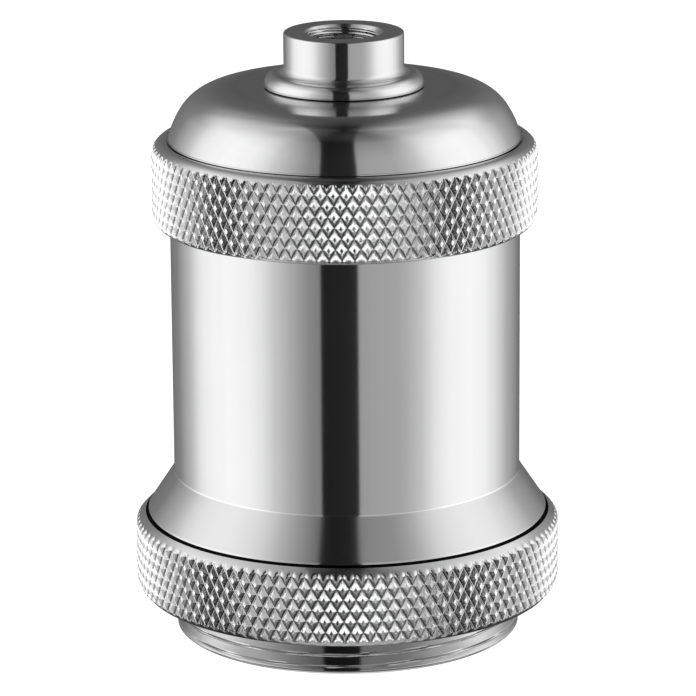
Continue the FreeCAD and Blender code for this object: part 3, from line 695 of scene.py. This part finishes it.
def glazed_ceramic(shade):
    """White glaze over a slightly uneven body, with a few specks."""
    material, graph = new_material("glazed_ceramic")
    place = graph.node("ShaderNodeTexCoord", out=3)
    waves = noise(graph, place, 260.0, 2.0)
    specks = graph.smooth(noise(graph, place, 2600.0, 1.0), 0.72, 0.78)
    clay = graph.tint(waves, toned(shade, 0.96), toned(shade, 1.02))
    tone = graph.tint(specks * 0.5, clay, toned(shade, 0.6))
    close_material(graph, {"Base Color": tone, "Roughness": waves * 0.1 + 0.16, "IOR": 1.5,
                           "Coat Weight": 0.4, "Coat Roughness": 0.08},
                   (waves, 0.25, 0.08 * MM))
    return material


def finished(piece, material):
    piece.data.materials.clear()
    piece.data.materials.append(material)


def dress_node(name, material):
    finished(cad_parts[name], material)


def made_material(name):
    return bpy.data.materials[name]


def add_thread(piece, name, kind, pitch, depth, heights, crest, reach, fade=0.2, shares=(0.25, 0.2),
               phase=0.0, finish="turned_plate"):
    """Thread a piece between two heights. All but the pitch and the depth is in millimetres."""
    low, high = heights
    run_tree(piece, thread_tree(name, kind), {
        "Pitch": pitch, "Depth": depth, "Low": low * MM, "High": high * MM, "Fade": fade * MM,
        "Crest": crest * MM, "Reach": reach * MM, "Phase": phase, "Crest share": shares[0],
        "Root share": shares[1], "Finish": made_material(finish)})


# Operators

class LAMP_HOLDER_OT_finishes(bpy.types.Operator):
    """Make the finishes that the pieces share."""
    bl_idname = "lamp_holder.finishes"
    bl_label = "Finishes"

    def execute(self, context):
        finishes = context.scene.lamp_holder_finishes
        turned_plate(finishes)
        plain_metal("zinc_steel", finishes.steel, roughness=0.34, scale=5000.0)
        plain_metal("rolled_nickel", finishes.nickel, roughness=0.24, scale=3000.0)
        plain_metal("plain_brass", finishes.brass, roughness=0.3, scale=4000.0)
        glazed_ceramic(finishes.ceramic)
        return {"FINISHED"}


class LAMP_HOLDER_OT_body_shell(bpy.types.Operator):
    """Turn the body shell with its spigot, flange, flare and threaded band."""
    bl_idname = "lamp_holder.body_shell"
    bl_label = "Body shell"

    def execute(self, context):
        sizes = context.scene.lamp_holder_shell
        body = sizes.body_radius / MM
        spigot = body - sizes.spigot_step / MM
        bore = body - sizes.wall / MM
        lower_bore = bore - sizes.ledge / MM
        flange = body + sizes.flange_overhang / MM
        band = body + sizes.band_step / MM
        flange_low = sizes.spigot_length / MM
        flange_high = flange_low + sizes.flange_rim / MM
        flare_top = flange_high + sizes.flare_height / MM
        band_low = flare_top + sizes.cylinder_length / MM
        top = band_low + sizes.band_length / MM
        edge = sizes.spigot_edge / MM
        rim_lip = sizes.rim_lip / MM
        undercut = sizes.undercut / MM
        ledge_height = sizes.ledge_height / MM
        band_chamfer = 0.4
        groove_low, groove_high = 34.0, 35.25
        groove = bore + 0.5
        outline = trace([
            Corner(lower_bore, 0, ease=0.25),
            Corner(spigot - edge, 0),
            Corner(spigot, edge, -edge),
            Corner(spigot, flange_low, pieces=160),
            Corner(flange - undercut, flange_low),
            Corner(flange - undercut, flange_high - rim_lip),
            Corner(flange, flange_high - rim_lip, ease=0.06),
            Corner(flange, flange_high, ease=0.08),
            Corner(body, flare_top, ease=0.22),
            Corner(body, band_low, pieces=4),
            Corner(band, band_low, ease=0.1),
            Corner(band, top - band_chamfer, pieces=56),
            Corner(band - band_chamfer, top),
            Corner(bore, top, ease=0.2),
            Corner(bore, groove_high),
            Corner(groove, groove_high),
            Corner(groove, groove_low),
            Corner(bore, groove_low),
            Corner(bore, ledge_height),
            Corner(lower_bore, ledge_height, ease=0.15),
        ])
        piece = turned_mesh("body_shell_turned", outline, segments=288)
        add_thread(piece, "Spigot thread", "cut", sizes.spigot_pitch, sizes.spigot_depth, (0.2, 14.2),
                   spigot, reach=0.8, fade=0.3, shares=(0.02, 0.7), phase=0.0875)
        add_thread(piece, "Union thread", "cut", sizes.band_pitch, sizes.band_depth,
                   (band_low + 0.3, top), band, reach=0.6, fade=0.5)
        finish_shading(piece)
        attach(piece, "holder_body")
        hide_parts("body_shell")
        return {"FINISHED"}


class LAMP_HOLDER_OT_cap(bpy.types.Operator):
    """Turn the domed cap with its collar and threaded neck."""
    bl_idname = "lamp_holder.cap"
    bl_label = "Cap"

    def execute(self, context):
        sizes = context.scene.lamp_holder_cap
        shell = context.scene.lamp_holder_shell
        rim = sizes.rim_radius / MM
        wall = sizes.wall / MM
        side, knee, crown = sizes.side_round / MM, sizes.knee_round / MM, sizes.crown_round / MM
        bore = (shell.body_radius - shell.wall) / MM
        shell_top = (shell.spigot_length + shell.flange_rim + shell.flare_height
                     + shell.cylinder_length + shell.band_length) / MM
        flange_top = shell_top + CAP_FLANGE
        foot = flange_top + UNION_LID
        flange = (shell.body_radius + shell.band_step) / MM + RUNNING_FIT - LOOSE_FIT
        skirt, skirt_bore, skirt_low = bore - LOOSE_FIT, bore - 1.3, shell_top - 2.2
        bead = rim + sizes.bead / MM
        bead_height = sizes.bead_height / MM
        bead_angle = math.acos(math.cos(sizes.side_angle) + bead_height / side)
        centres = [Vector((rim - side * math.sin(sizes.side_angle),
                           foot - side * math.cos(sizes.side_angle)))]
        for gap, angle in ((side - knee, sizes.knee_angle), (knee - crown, sizes.crown_angle)):
            centres.append(centres[-1] + gap * Vector((math.sin(angle), math.cos(angle))))
        side_centre, knee_centre, crown_centre = centres

        def on_arc(centre, radius, angle):
            return centre.x + radius * math.sin(angle), centre.y + radius * math.cos(angle)

        crown_top = crown_centre.y + crown
        ceiling = crown_top - wall
        collar = sizes.collar_radius / MM
        collar_round = sizes.collar_round / MM
        collar_foot = crown_top + sizes.collar_foot / MM
        collar_top = collar_foot + collar_round
        undercut, undercut_top = collar - 0.25, crown_top + 0.15
        neck = sizes.neck_radius / MM
        neck_foot = collar_top + sizes.collar_fillet / MM
        fillet = neck_foot - collar_top
        neck_top = neck_foot + sizes.neck_length / MM
        entry = sizes.entry_radius / MM
        mouth = sizes.entry_mouth / MM
        outline = trace([
            Corner(skirt_bore, skirt_low),
            Corner(skirt, skirt_low, ease=0.1),
            Corner(skirt, shell_top),
            Corner(flange, shell_top, ease=0.1),
            Corner(flange, flange_top, ease=0.1),
            Corner(rim, flange_top),
            Corner(rim, foot - 0.3),
            Corner(bead, foot - 0.2),
            Corner(bead, foot + bead_height, ease=0.05),
            Corner(*on_arc(side_centre, side, bead_angle)),
            Corner(*on_arc(side_centre, side, sizes.knee_angle), -side),
            Corner(*on_arc(knee_centre, knee, sizes.crown_angle), -knee),
            Corner(crown_centre.x, crown_top, -crown),
            Corner(undercut, crown_top),
            Corner(undercut, undercut_top),
            Corner(collar, undercut_top, ease=0.04),
            Corner(collar, collar_foot),
            Corner(neck + neck_foot - collar_top, collar_top, -collar_round),
            Corner(neck, neck_foot, fillet),
            Corner(neck, neck_top, ease=0.3),
            Corner(entry + mouth, neck_top, ease=0.12),
            Corner(entry, neck_top - mouth, pieces=12),
            Corner(entry, ceiling, pieces=90),
            Corner(crown_centre.x, ceiling),
            Corner(*on_arc(knee_centre, knee - wall, sizes.crown_angle), crown - wall),
            Corner(*on_arc(side_centre, side - wall, sizes.knee_angle), knee - wall),
            Corner(*on_arc(side_centre, side - wall, sizes.side_angle), side - wall),
            Corner(skirt_bore, shell_top),
        ])
        piece = turned_mesh("cap_turned", outline, segments=256)
        add_thread(piece, "Entry thread", "bored", sizes.entry_pitch, sizes.entry_depth,
                   (ceiling + 0.2, neck_top + 0.1), entry, reach=0.9, shares=(0.2, 0.15), phase=0.3)
        hole_start = Vector((0, 0.0045, (neck_top - 2.6) * MM))
        subtract(piece, cutter("locking_hole", radius=1.55 * MM, start=hole_start, reach=0.012))
        finish_shading(piece, SMOOTH_THREAD)
        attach(piece, "cap_group")
        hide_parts("cap")
        return {"FINISHED"}


def cutter(name, radius, start, reach):
    """Round bar from its start towards the back, used to cut a hole."""
    verts, faces = [], []
    sides = 48
    for end in (0.0, reach):
        for index in range(sides):
            angle = FULL_TURN * index / sides
            verts.append(start + Vector((radius * math.cos(angle), end, radius * math.sin(angle))))
    for index in range(sides):
        after = (index + 1) % sides
        faces.append((index, index + sides, after + sides, after))
    faces.append(tuple(range(sides)))
    faces.append(tuple(reversed(range(sides, 2 * sides))))
    return new_piece(name, verts, faces)


def subtract(piece, bar):
    modifier = piece.modifiers.new("Hole", "BOOLEAN")
    modifier.operation = "DIFFERENCE"
    modifier.solver = "EXACT"
    modifier.object = bar
    settle(piece)
    bpy.data.objects.remove(bar)


def spin(piece, angle):
    piece.data.transform(Matrix.Rotation(angle, 4, "Z"))


class RingForm:
    """Sizes of a knurled ring in millimetres, and the outline of its grip.

    The crown runs from the tips in to the lip as an arc between two slopes. The foot stands back
    from the root and falls to the underside in two slopes.
    """
    foot_step = 0.05

    def __init__(self, low, top, tip, depth, row_height, foot, head, lip, slopes):
        self.low, self.top, self.tip, self.lip = low, top, tip, lip
        self.root = tip - depth
        self.grip_low = low + foot
        self.grip_high = top - head
        self.row_height = row_height
        self.tip_height = self.grip_high - row_height / 2
        first, last = (math.radians(slope) for slope in slopes)
        self.crown_round = (tip - lip) / (math.cos(first) - math.cos(last))
        self.crown_foot = top - self.crown_round * (math.sin(last) - math.sin(first))
        self.crown_start = first

    def profile(self, height):
        """Radius of the plain ring before it is knurled."""
        chamfer = self.root - self.foot_step + (height - self.grip_low)
        if height <= self.crown_foot:
            return min(self.tip, chamfer)
        sine = min(math.sin(self.crown_start) + (height - self.crown_foot) / self.crown_round, 1.0)
        return self.tip - self.crown_round * (math.cos(self.crown_start) - math.sqrt(1.0 - sine ** 2))

    def outer(self, fineness):
        """Outer wall from the top down, with the grip's rows on the knurl's lattice."""
        step = self.row_height / fineness
        first = math.ceil((self.tip_height - self.grip_high) / step - 1e-6)
        last = math.floor((self.tip_height - self.grip_low) / step + 1e-6)
        grip = [Vector((self.profile(height), height))
                for height in (self.tip_height - index * step for index in range(first, last + 1))]
        crown = []
        for share_of_rise in (1.0, 0.96, 0.88, 0.76, 0.6, 0.4, 0.2):
            height = grip[0].y + (self.top - grip[0].y) * share_of_rise
            crown.append(Vector((self.profile(height), height)))
        crown[0].x = self.lip
        fall = self.grip_low - self.low
        foot = [Vector((self.root - self.foot_step, self.grip_low - 0.02)),
                Vector((self.root - self.foot_step - fall * 0.7, self.low + 0.08)),
                Vector((self.root - 0.12 - fall * 0.8, self.low))]
        return crown + grip + foot, (len(crown), len(crown) + len(grip) - 1, first)


def make_ring(name, form, inner, count, fineness, first_direction):
    """Plain ring whose mesh cells lie on the knurl's lattice."""
    outer, grip = form.outer(fineness)
    segments = count * fineness
    piece = ring_mesh(name, outer, grip, inner, segments, fineness // 2, fineness)
    spin(piece, first_direction - FULL_TURN / segments * (fineness // 2))
    return piece


def knurl_ring(piece, form, knurl, count, direction, material):
    tree = bpy.data.node_groups.get("Cut knurl") or knurl_tree()
    run_tree(piece, tree, {
        "Count": float(count), "Row height": form.row_height * MM, "Tip height": form.tip_height * MM,
        "Root": form.root * MM, "Depth": knurl.depth, "Flat": knurl.flat, "Turn": direction,
        "Lean": knurl.lean, "Finish": made_material("turned_plate"), "Cut finish": material})
    finish_shading(piece)


class LAMP_HOLDER_OT_upper_ring(bpy.types.Operator):
    """Turn and knurl the union ring."""
    bl_idname = "lamp_holder.upper_ring"
    bl_label = "Union ring"

    def execute(self, context):
        knurl = context.scene.lamp_holder_knurl
        shell = context.scene.lamp_holder_shell
        finishes = context.scene.lamp_holder_finishes
        count, turn = knurl.upper_count, knurl.upper_turn
        bore = (shell.body_radius + shell.band_step) / MM + RUNNING_FIT
        lip = context.scene.lamp_holder_cap.rim_radius / MM + LOOSE_FIT
        low, top = UNION_LOW.z / MM, UNION_HIGH.z / MM
        chamfer, lid = 0.3, top - UNION_LID
        form = RingForm(low, top, bore + knurl.upper_wall / MM, knurl.depth / MM, knurl.upper_row / MM,
                        foot=0.2, head=0.65, lip=lip, slopes=(0, 85))
        inner = trace_open([
            Corner(bore + chamfer, low), Corner(bore, low + chamfer, pieces=4),
            Corner(bore, lid, pieces=72), Corner(lip, lid), Corner(lip, top - 0.05)])
        piece = make_ring("union_ring_knurled", form, inner, count, knurl.fineness, turn)
        add_thread(piece, "Union ring thread", "bored", shell.band_pitch, shell.band_depth,
                   (low - 0.1, top - 2.8), bore, reach=0.35)
        knurl_ring(piece, form, knurl, count, turn,
                   cut_plate(finishes, "cut_plate_upper", form, knurl, count, turn))
        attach(piece, "union_ring")
        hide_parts("upper_ring")
        return {"FINISHED"}


class LAMP_HOLDER_OT_lower_ring(bpy.types.Operator):
    """Turn and knurl the shade ring."""
    bl_idname = "lamp_holder.lower_ring"
    bl_label = "Shade ring"

    def execute(self, context):
        knurl = context.scene.lamp_holder_knurl
        shell = context.scene.lamp_holder_shell
        finishes = context.scene.lamp_holder_finishes
        count, turn = knurl.lower_count, knurl.lower_turn
        bore = (shell.body_radius - shell.spigot_step) / MM + RUNNING_FIT
        recess = (shell.body_radius + shell.flange_overhang) / MM + LOOSE_FIT
        low, top = RING_LOW.z / MM, RING_HIGH.z / MM
        chamfer, floor = 0.4, top - 1.15
        form = RingForm(low, top, recess + knurl.lower_wall / MM, knurl.depth / MM, knurl.lower_row / MM,
                        foot=0.55, head=1.15, lip=recess + 0.1, slopes=(38, 52))
        inner = trace_open([
            Corner(bore + chamfer, low), Corner(bore, low + chamfer, pieces=4),
            Corner(bore, floor, pieces=72), Corner(recess, floor), Corner(recess, top - 0.15)])
        piece = make_ring("shade_ring_knurled", form, inner, count, knurl.fineness, turn)
        add_thread(piece, "Shade ring thread", "bored", shell.spigot_pitch, shell.spigot_depth,
                   (low - 0.1, top - 1.3), bore, reach=0.45)
        knurl_ring(piece, form, knurl, count, turn,
                   cut_plate(finishes, "cut_plate_lower", form, knurl, count, turn))
        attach(piece, "shade_ring")
        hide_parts("lower_ring")
        return {"FINISHED"}


class LAMP_HOLDER_OT_screw_shell(bpy.types.Operator):
    """Roll the lamp thread into the screw shell."""
    bl_idname = "lamp_holder.screw_shell"
    bl_label = "Screw shell"

    def execute(self, context):
        sizes = context.scene.lamp_holder_thread
        low, high = (corner.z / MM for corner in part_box("screw_shell"))
        inside = sizes.radius / MM
        sheet = sizes.sheet / MM
        thread_high = high - sheet - 1.6
        thread_low = thread_high - sizes.turns * sizes.pitch / MM
        floor_hole = 8.1
        outside = inside + sheet
        flare, flare_low, flare_high = 0.55, low + 0.5, low + 1.2
        outline = trace([
            Corner(floor_hole, high - sheet),
            Corner(floor_hole, high),
            Corner(outside, high, ease=0.5),
            Corner(outside, flare_high, pieces=96),
            Corner(outside + flare, flare_low, pieces=3),
            Corner(outside + flare, low, ease=0.12),
            Corner(inside + flare, low, ease=0.12),
            Corner(inside + flare, flare_low),
            Corner(inside, flare_high, pieces=3),
            Corner(inside, high - sheet, pieces=96, ease=0.3),
        ])
        piece = turned_mesh("screw_shell_rolled", outline, segments=192)
        fade = 1.2
        add_thread(piece, "Lamp thread", "rolled", sizes.pitch, sizes.depth,
                   (thread_low - fade, thread_high + fade / 2), inside + sheet / 2, reach=0.9, fade=fade,
                   shares=(0.0, 0.0), finish="rolled_nickel")
        finish_shading(piece)
        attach(piece, "holder_body")
        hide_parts("screw_shell")
        return {"FINISHED"}


class LAMP_HOLDER_OT_insert(bpy.types.Operator):
    """Finish the ceramic insert and the fittings on it."""
    bl_idname = "lamp_holder.insert"
    bl_label = "Insert and fittings"

    def execute(self, context):
        dress_node("ceramic_insert", made_material("glazed_ceramic"))
        for name in ("live_terminal", "neutral_terminal", "shell_anchor_nut", "centre_contact",
                     "centre_contact_screw"):
            dress_node(name, made_material("plain_brass"))
        for name in ("terminal_screws", "shell_fixing_screws", "insert_retaining_ring"):
            dress_node(name, made_material("zinc_steel"))
        return {"FINISHED"}


class LAMP_HOLDER_OT_cap_fittings(bpy.types.Operator):
    """Finish the locking screw and the earth screw with its saddle washer."""
    bl_idname = "lamp_holder.cap_fittings"
    bl_label = "Cap fittings"

    def execute(self, context):
        for name in ("neck_grub_screw", "earth_screw", "earth_saddle_washer"):
            dress_node(name, made_material("zinc_steel"))
        return {"FINISHED"}


class LAMP_HOLDER_OT_studio(bpy.types.Operator):
    """Set up the camera, the pale floor, the soft walls of light and two soft lamps."""
    bl_idname = "lamp_holder.studio"
    bl_label = "Studio"

    def execute(self, context):
        settings = context.scene.lamp_holder_studio
        make_camera(context.scene, settings)
        make_floor()
        make_walls(context.scene, settings.brightness)
        make_lamp("side_lamp", Vector((-0.7, -0.5, 0.6)), power=9.0)
        make_lamp("fill_lamp", Vector((0.8, -0.3, 0.5)), power=5.0)
        context.scene.view_settings.view_transform = "Standard"
        return {"FINISHED"}


def make_camera(scene, settings):
    data = bpy.data.cameras.new("studio_camera")
    data.sensor_width = 36.0
    data.lens = settings.lens
    data.shift_x = settings.shift
    data.clip_start, data.clip_end = 0.02, 20.0
    camera = bpy.data.objects.new("studio_camera", data)
    scene.collection.objects.link(camera)
    back = Vector((0.0, -math.cos(settings.pitch), math.sin(settings.pitch)))
    facing = (-back).to_track_quat("-Z", "Y").to_matrix().to_4x4()
    lean = Matrix.Rotation(-settings.roll, 4, "Z")
    place = Vector((0, 0, settings.look_height)) + back * settings.distance
    camera.matrix_world = Matrix.Translation(place) @ facing @ lean
    scene.camera = camera


def make_floor():
    """Pale floor that the camera sees from above.

    Light and reflections pass through it, dimmed by a painted shadow close to the object and most of all in
    front.
    """
    material, graph = new_material("pale_floor")
    path = graph.node("ShaderNodeLightPath")
    camera_ray = Value(graph, path.socket.node.outputs["Is Camera Ray"])
    behind = Value(graph, graph.node("ShaderNodeNewGeometry").socket.node.outputs["Backfacing"])
    glow = graph.node("ShaderNodeEmission", {"Color": (1, 1, 1, 1), "Strength": 0.86})
    place = graph.node("ShaderNodeTexCoord", out=3)
    grain = graph.tint(noise(graph, place, 40.0, 3.0), (0.29, 0.29, 0.29, 1), (0.31, 0.31, 0.31, 1))
    matt = graph.node("ShaderNodeBsdfDiffuse", {"Color": grain})
    seen = graph.node("ShaderNodeAddShader", {0: glow, 1: matt})
    clear = graph.node("ShaderNodeBsdfTransparent")
    # painted shadow: what passes through the floor close to the object is dimmed
    painted_floor_shadow = graph.node("ShaderNodeBsdfTransparent", {"Color": (0.42, 0.42, 0.42, 1)})
    x, y, _ = graph.split(place)
    radius = (x * x + y * y).math("SQRT")
    beside = graph.smooth(radius, 22 * MM, 26 * MM) * (1.0 - graph.smooth(radius, 42 * MM, 60 * MM))
    in_front = graph.smooth(y * -1.0 / radius, 0.5, 0.76) * 0.6 + 0.4
    passing = graph.node("ShaderNodeMixShader",
                         {0: beside * in_front * (1.0 - camera_ray), 1: clear, 2: painted_floor_shadow})
    surface = graph.node("ShaderNodeMixShader", {0: camera_ray * (1.0 - behind), 1: passing, 2: seen})
    graph.node("ShaderNodeOutputMaterial", {"Surface": surface})
    half = 2.5
    corners = [(-half, -half, 0), (half, -half, 0), (half, half, 0), (-half, half, 0)]
    floor = new_piece("studio_floor", corners, [(0, 1, 2, 3)])
    finished(floor, material)


def make_walls(scene, brightness):
    """Soft walls of light round the object, with a dark gap where the camera stands.

    direction runs once round from the back, with 0.5 at the camera. height runs from 0 straight
    down to 1 straight up, with 0.5 level. across and rise are the levels along the two.
    """
    world = bpy.data.worlds.new("soft_walls")
    world.use_nodes = True
    scene.world = world
    graph = Graph(world.node_tree)
    x, y, z = graph.split(graph.node("ShaderNodeTexCoord", out=0))
    direction = x.math("ARCTAN2", y * -1.0) / FULL_TURN + 0.5
    across = graph.node("ShaderNodeValToRGB", {"Fac": direction}, stops=[
        (0.0, 0.08), (0.094, 0.2), (0.15, 0.47), (0.192, 0.86), (0.23, 0.97), (0.275, 1.0),
        (0.317, 0.93), (0.342, 0.81), (0.367, 0.61), (0.391, 0.47), (0.414, 0.35), (0.436, 0.25),
        (0.46, 0.22), (0.52, 0.34), (0.55, 0.37), (0.596, 0.39), (0.62, 0.47), (0.645, 0.61),
        (0.67, 0.82), (0.695, 0.94), (0.74, 1.0), (0.786, 0.95), (0.825, 0.73), (0.871, 0.4),
        (0.942, 0.15), (1.0, 0.08)])
    height = z.math("ARCSINE") / math.pi + 0.5
    rise = graph.node("ShaderNodeValToRGB", {"Fac": height}, stops=[
        (0.0, 1.0), (0.13, 0.9), (0.2, 0.2), (0.29, 0.25), (0.36, 0.95), (0.42, 1.0), (0.56, 1.0),
        (0.69, 1.0), (0.76, 0.8), (0.82, 0.62), (0.88, 0.56), (0.92, 0.45), (0.955, 0.24), (1.0, 0.14)])
    below = 1.0 - graph.smooth(height, 0.1, 0.18)
    streaks = noise(graph, graph.node("ShaderNodeCombineXYZ", {"X": direction}), 70.0, 3.0, "2D")
    walls = across * (streaks * 0.1 + 0.95) * (1.0 - below) + below
    from_back = 0.5 - (direction - 0.5).math("ABSOLUTE")
    lamps_behind = (graph.smooth(from_back, 0.02, 0.08) * (1.0 - graph.smooth(from_back, 0.12, 0.2))
                    * graph.smooth(height, 0.62, 0.74) * (1.0 - graph.smooth(height, 0.8, 0.9)))
    shade_in_front = graph.smooth(from_back, 0.19, 0.27) * graph.smooth(height, 0.78, 0.9)
    ceiling = 1.0 + lamps_behind * 0.85 - shade_in_front * 0.38
    gap_offset, gap_half_width = 0.067, 0.205
    edge = gap_half_width - graph.smooth(height, 0.55, 0.85) * 0.05
    gap = 1.0 - graph.smooth((x + gap_offset).math("ABSOLUTE") / edge, 0.94, 1.05)
    depth_of_gap = 0.94 - graph.smooth(height, 0.8, 0.93) * 0.34
    front = 1.0 - graph.smooth(y, 0.1, 0.5)
    dark = gap * depth_of_gap * front * graph.smooth(height, 0.15, 0.2)
    from_front = (direction - 0.5).math("ABSOLUTE")
    low_lamps = graph.node("ShaderNodeValToRGB", {"Fac": from_front}, stops=[
        (0.0, 0.0), (0.08, 0.0), (0.1, 1.0), (0.145, 1.0), (0.16, 0.2), (0.19, 0.2), (0.205, 1.0),
        (0.28, 1.0), (0.33, 0.0)])
    at_the_floor = graph.smooth(height, 0.16, 0.2) * (1.0 - graph.smooth(height, 0.29, 0.34))
    level = walls * (low_lamps * at_the_floor * 0.6 + rise) * ceiling * (1.0 - dark) * brightness
    camera_ray = Value(graph, graph.node("ShaderNodeLightPath").socket.node.outputs["Is Camera Ray"])
    strength = camera_ray + (1.0 - camera_ray) * level
    graph.node("ShaderNodeOutputWorld", {"Surface": graph.node("ShaderNodeBackground", {
        "Color": (1, 1, 1, 1), "Strength": strength})})


def make_lamp(name, place, power):
    """Soft lamp that lifts the matt pieces and doesn't show in the metal."""
    data = bpy.data.lights.new(name, "AREA")
    data.size = 0.6
    data.energy = power
    lamp = bpy.data.objects.new(name, data)
    bpy.context.scene.collection.objects.link(lamp)
    middle = Vector((0, 0, 0.04))
    facing = (middle - place).to_track_quat("-Z", "Y").to_matrix().to_4x4()
    lamp.matrix_world = Matrix.Translation(place) @ facing
    lamp.visible_glossy = False


class LAMP_HOLDER_PT_panel(bpy.types.Panel):
    """Buttons for every piece and for the studio."""
    bl_idname = "LAMP_HOLDER_PT_panel"
    bl_label = "Lamp Holder"
    bl_space_type = "VIEW_3D"
    bl_region_type = "UI"
    bl_category = "Lamp Holder"

    def draw(self, context):
        for name, kind in SETTINGS.items():
            box = self.layout.box()
            box.label(text=kind.__name__)
            for setting in kind.__annotations__:
                box.prop(getattr(context.scene, name), setting)
        for step in STEPS:
            self.layout.operator(step.bl_idname)


SETTINGS = {
    "lamp_holder_shell": ShellSizes,
    "lamp_holder_cap": CapSizes,
    "lamp_holder_knurl": KnurlSizes,
    "lamp_holder_thread": LampThreadSizes,
    "lamp_holder_finishes": Finishes,
    "lamp_holder_studio": StudioSettings,
}
STEPS = (
    LAMP_HOLDER_OT_finishes,
    LAMP_HOLDER_OT_body_shell,
    LAMP_HOLDER_OT_cap,
    LAMP_HOLDER_OT_upper_ring,
    LAMP_HOLDER_OT_lower_ring,
    LAMP_HOLDER_OT_screw_shell,
    LAMP_HOLDER_OT_insert,
    LAMP_HOLDER_OT_cap_fittings,
    LAMP_HOLDER_OT_studio,
)


def register():
    for kind in (*SETTINGS.values(), *STEPS, LAMP_HOLDER_PT_panel):
        bpy.utils.register_class(kind)
    for name, kind in SETTINGS.items():
        setattr(bpy.types.Scene, name, bpy.props.PointerProperty(type=kind))


def unregister():
    for name in SETTINGS:
        delattr(bpy.types.Scene, name)
    for kind in reversed((*SETTINGS.values(), *STEPS, LAMP_HOLDER_PT_panel)):
        bpy.utils.unregister_class(kind)


def main():
    register()
    for step in STEPS:
        group, action = step.bl_idname.split(".")
        getattr(getattr(bpy.ops, group), action)()


if __name__ == "__main__":
    main()
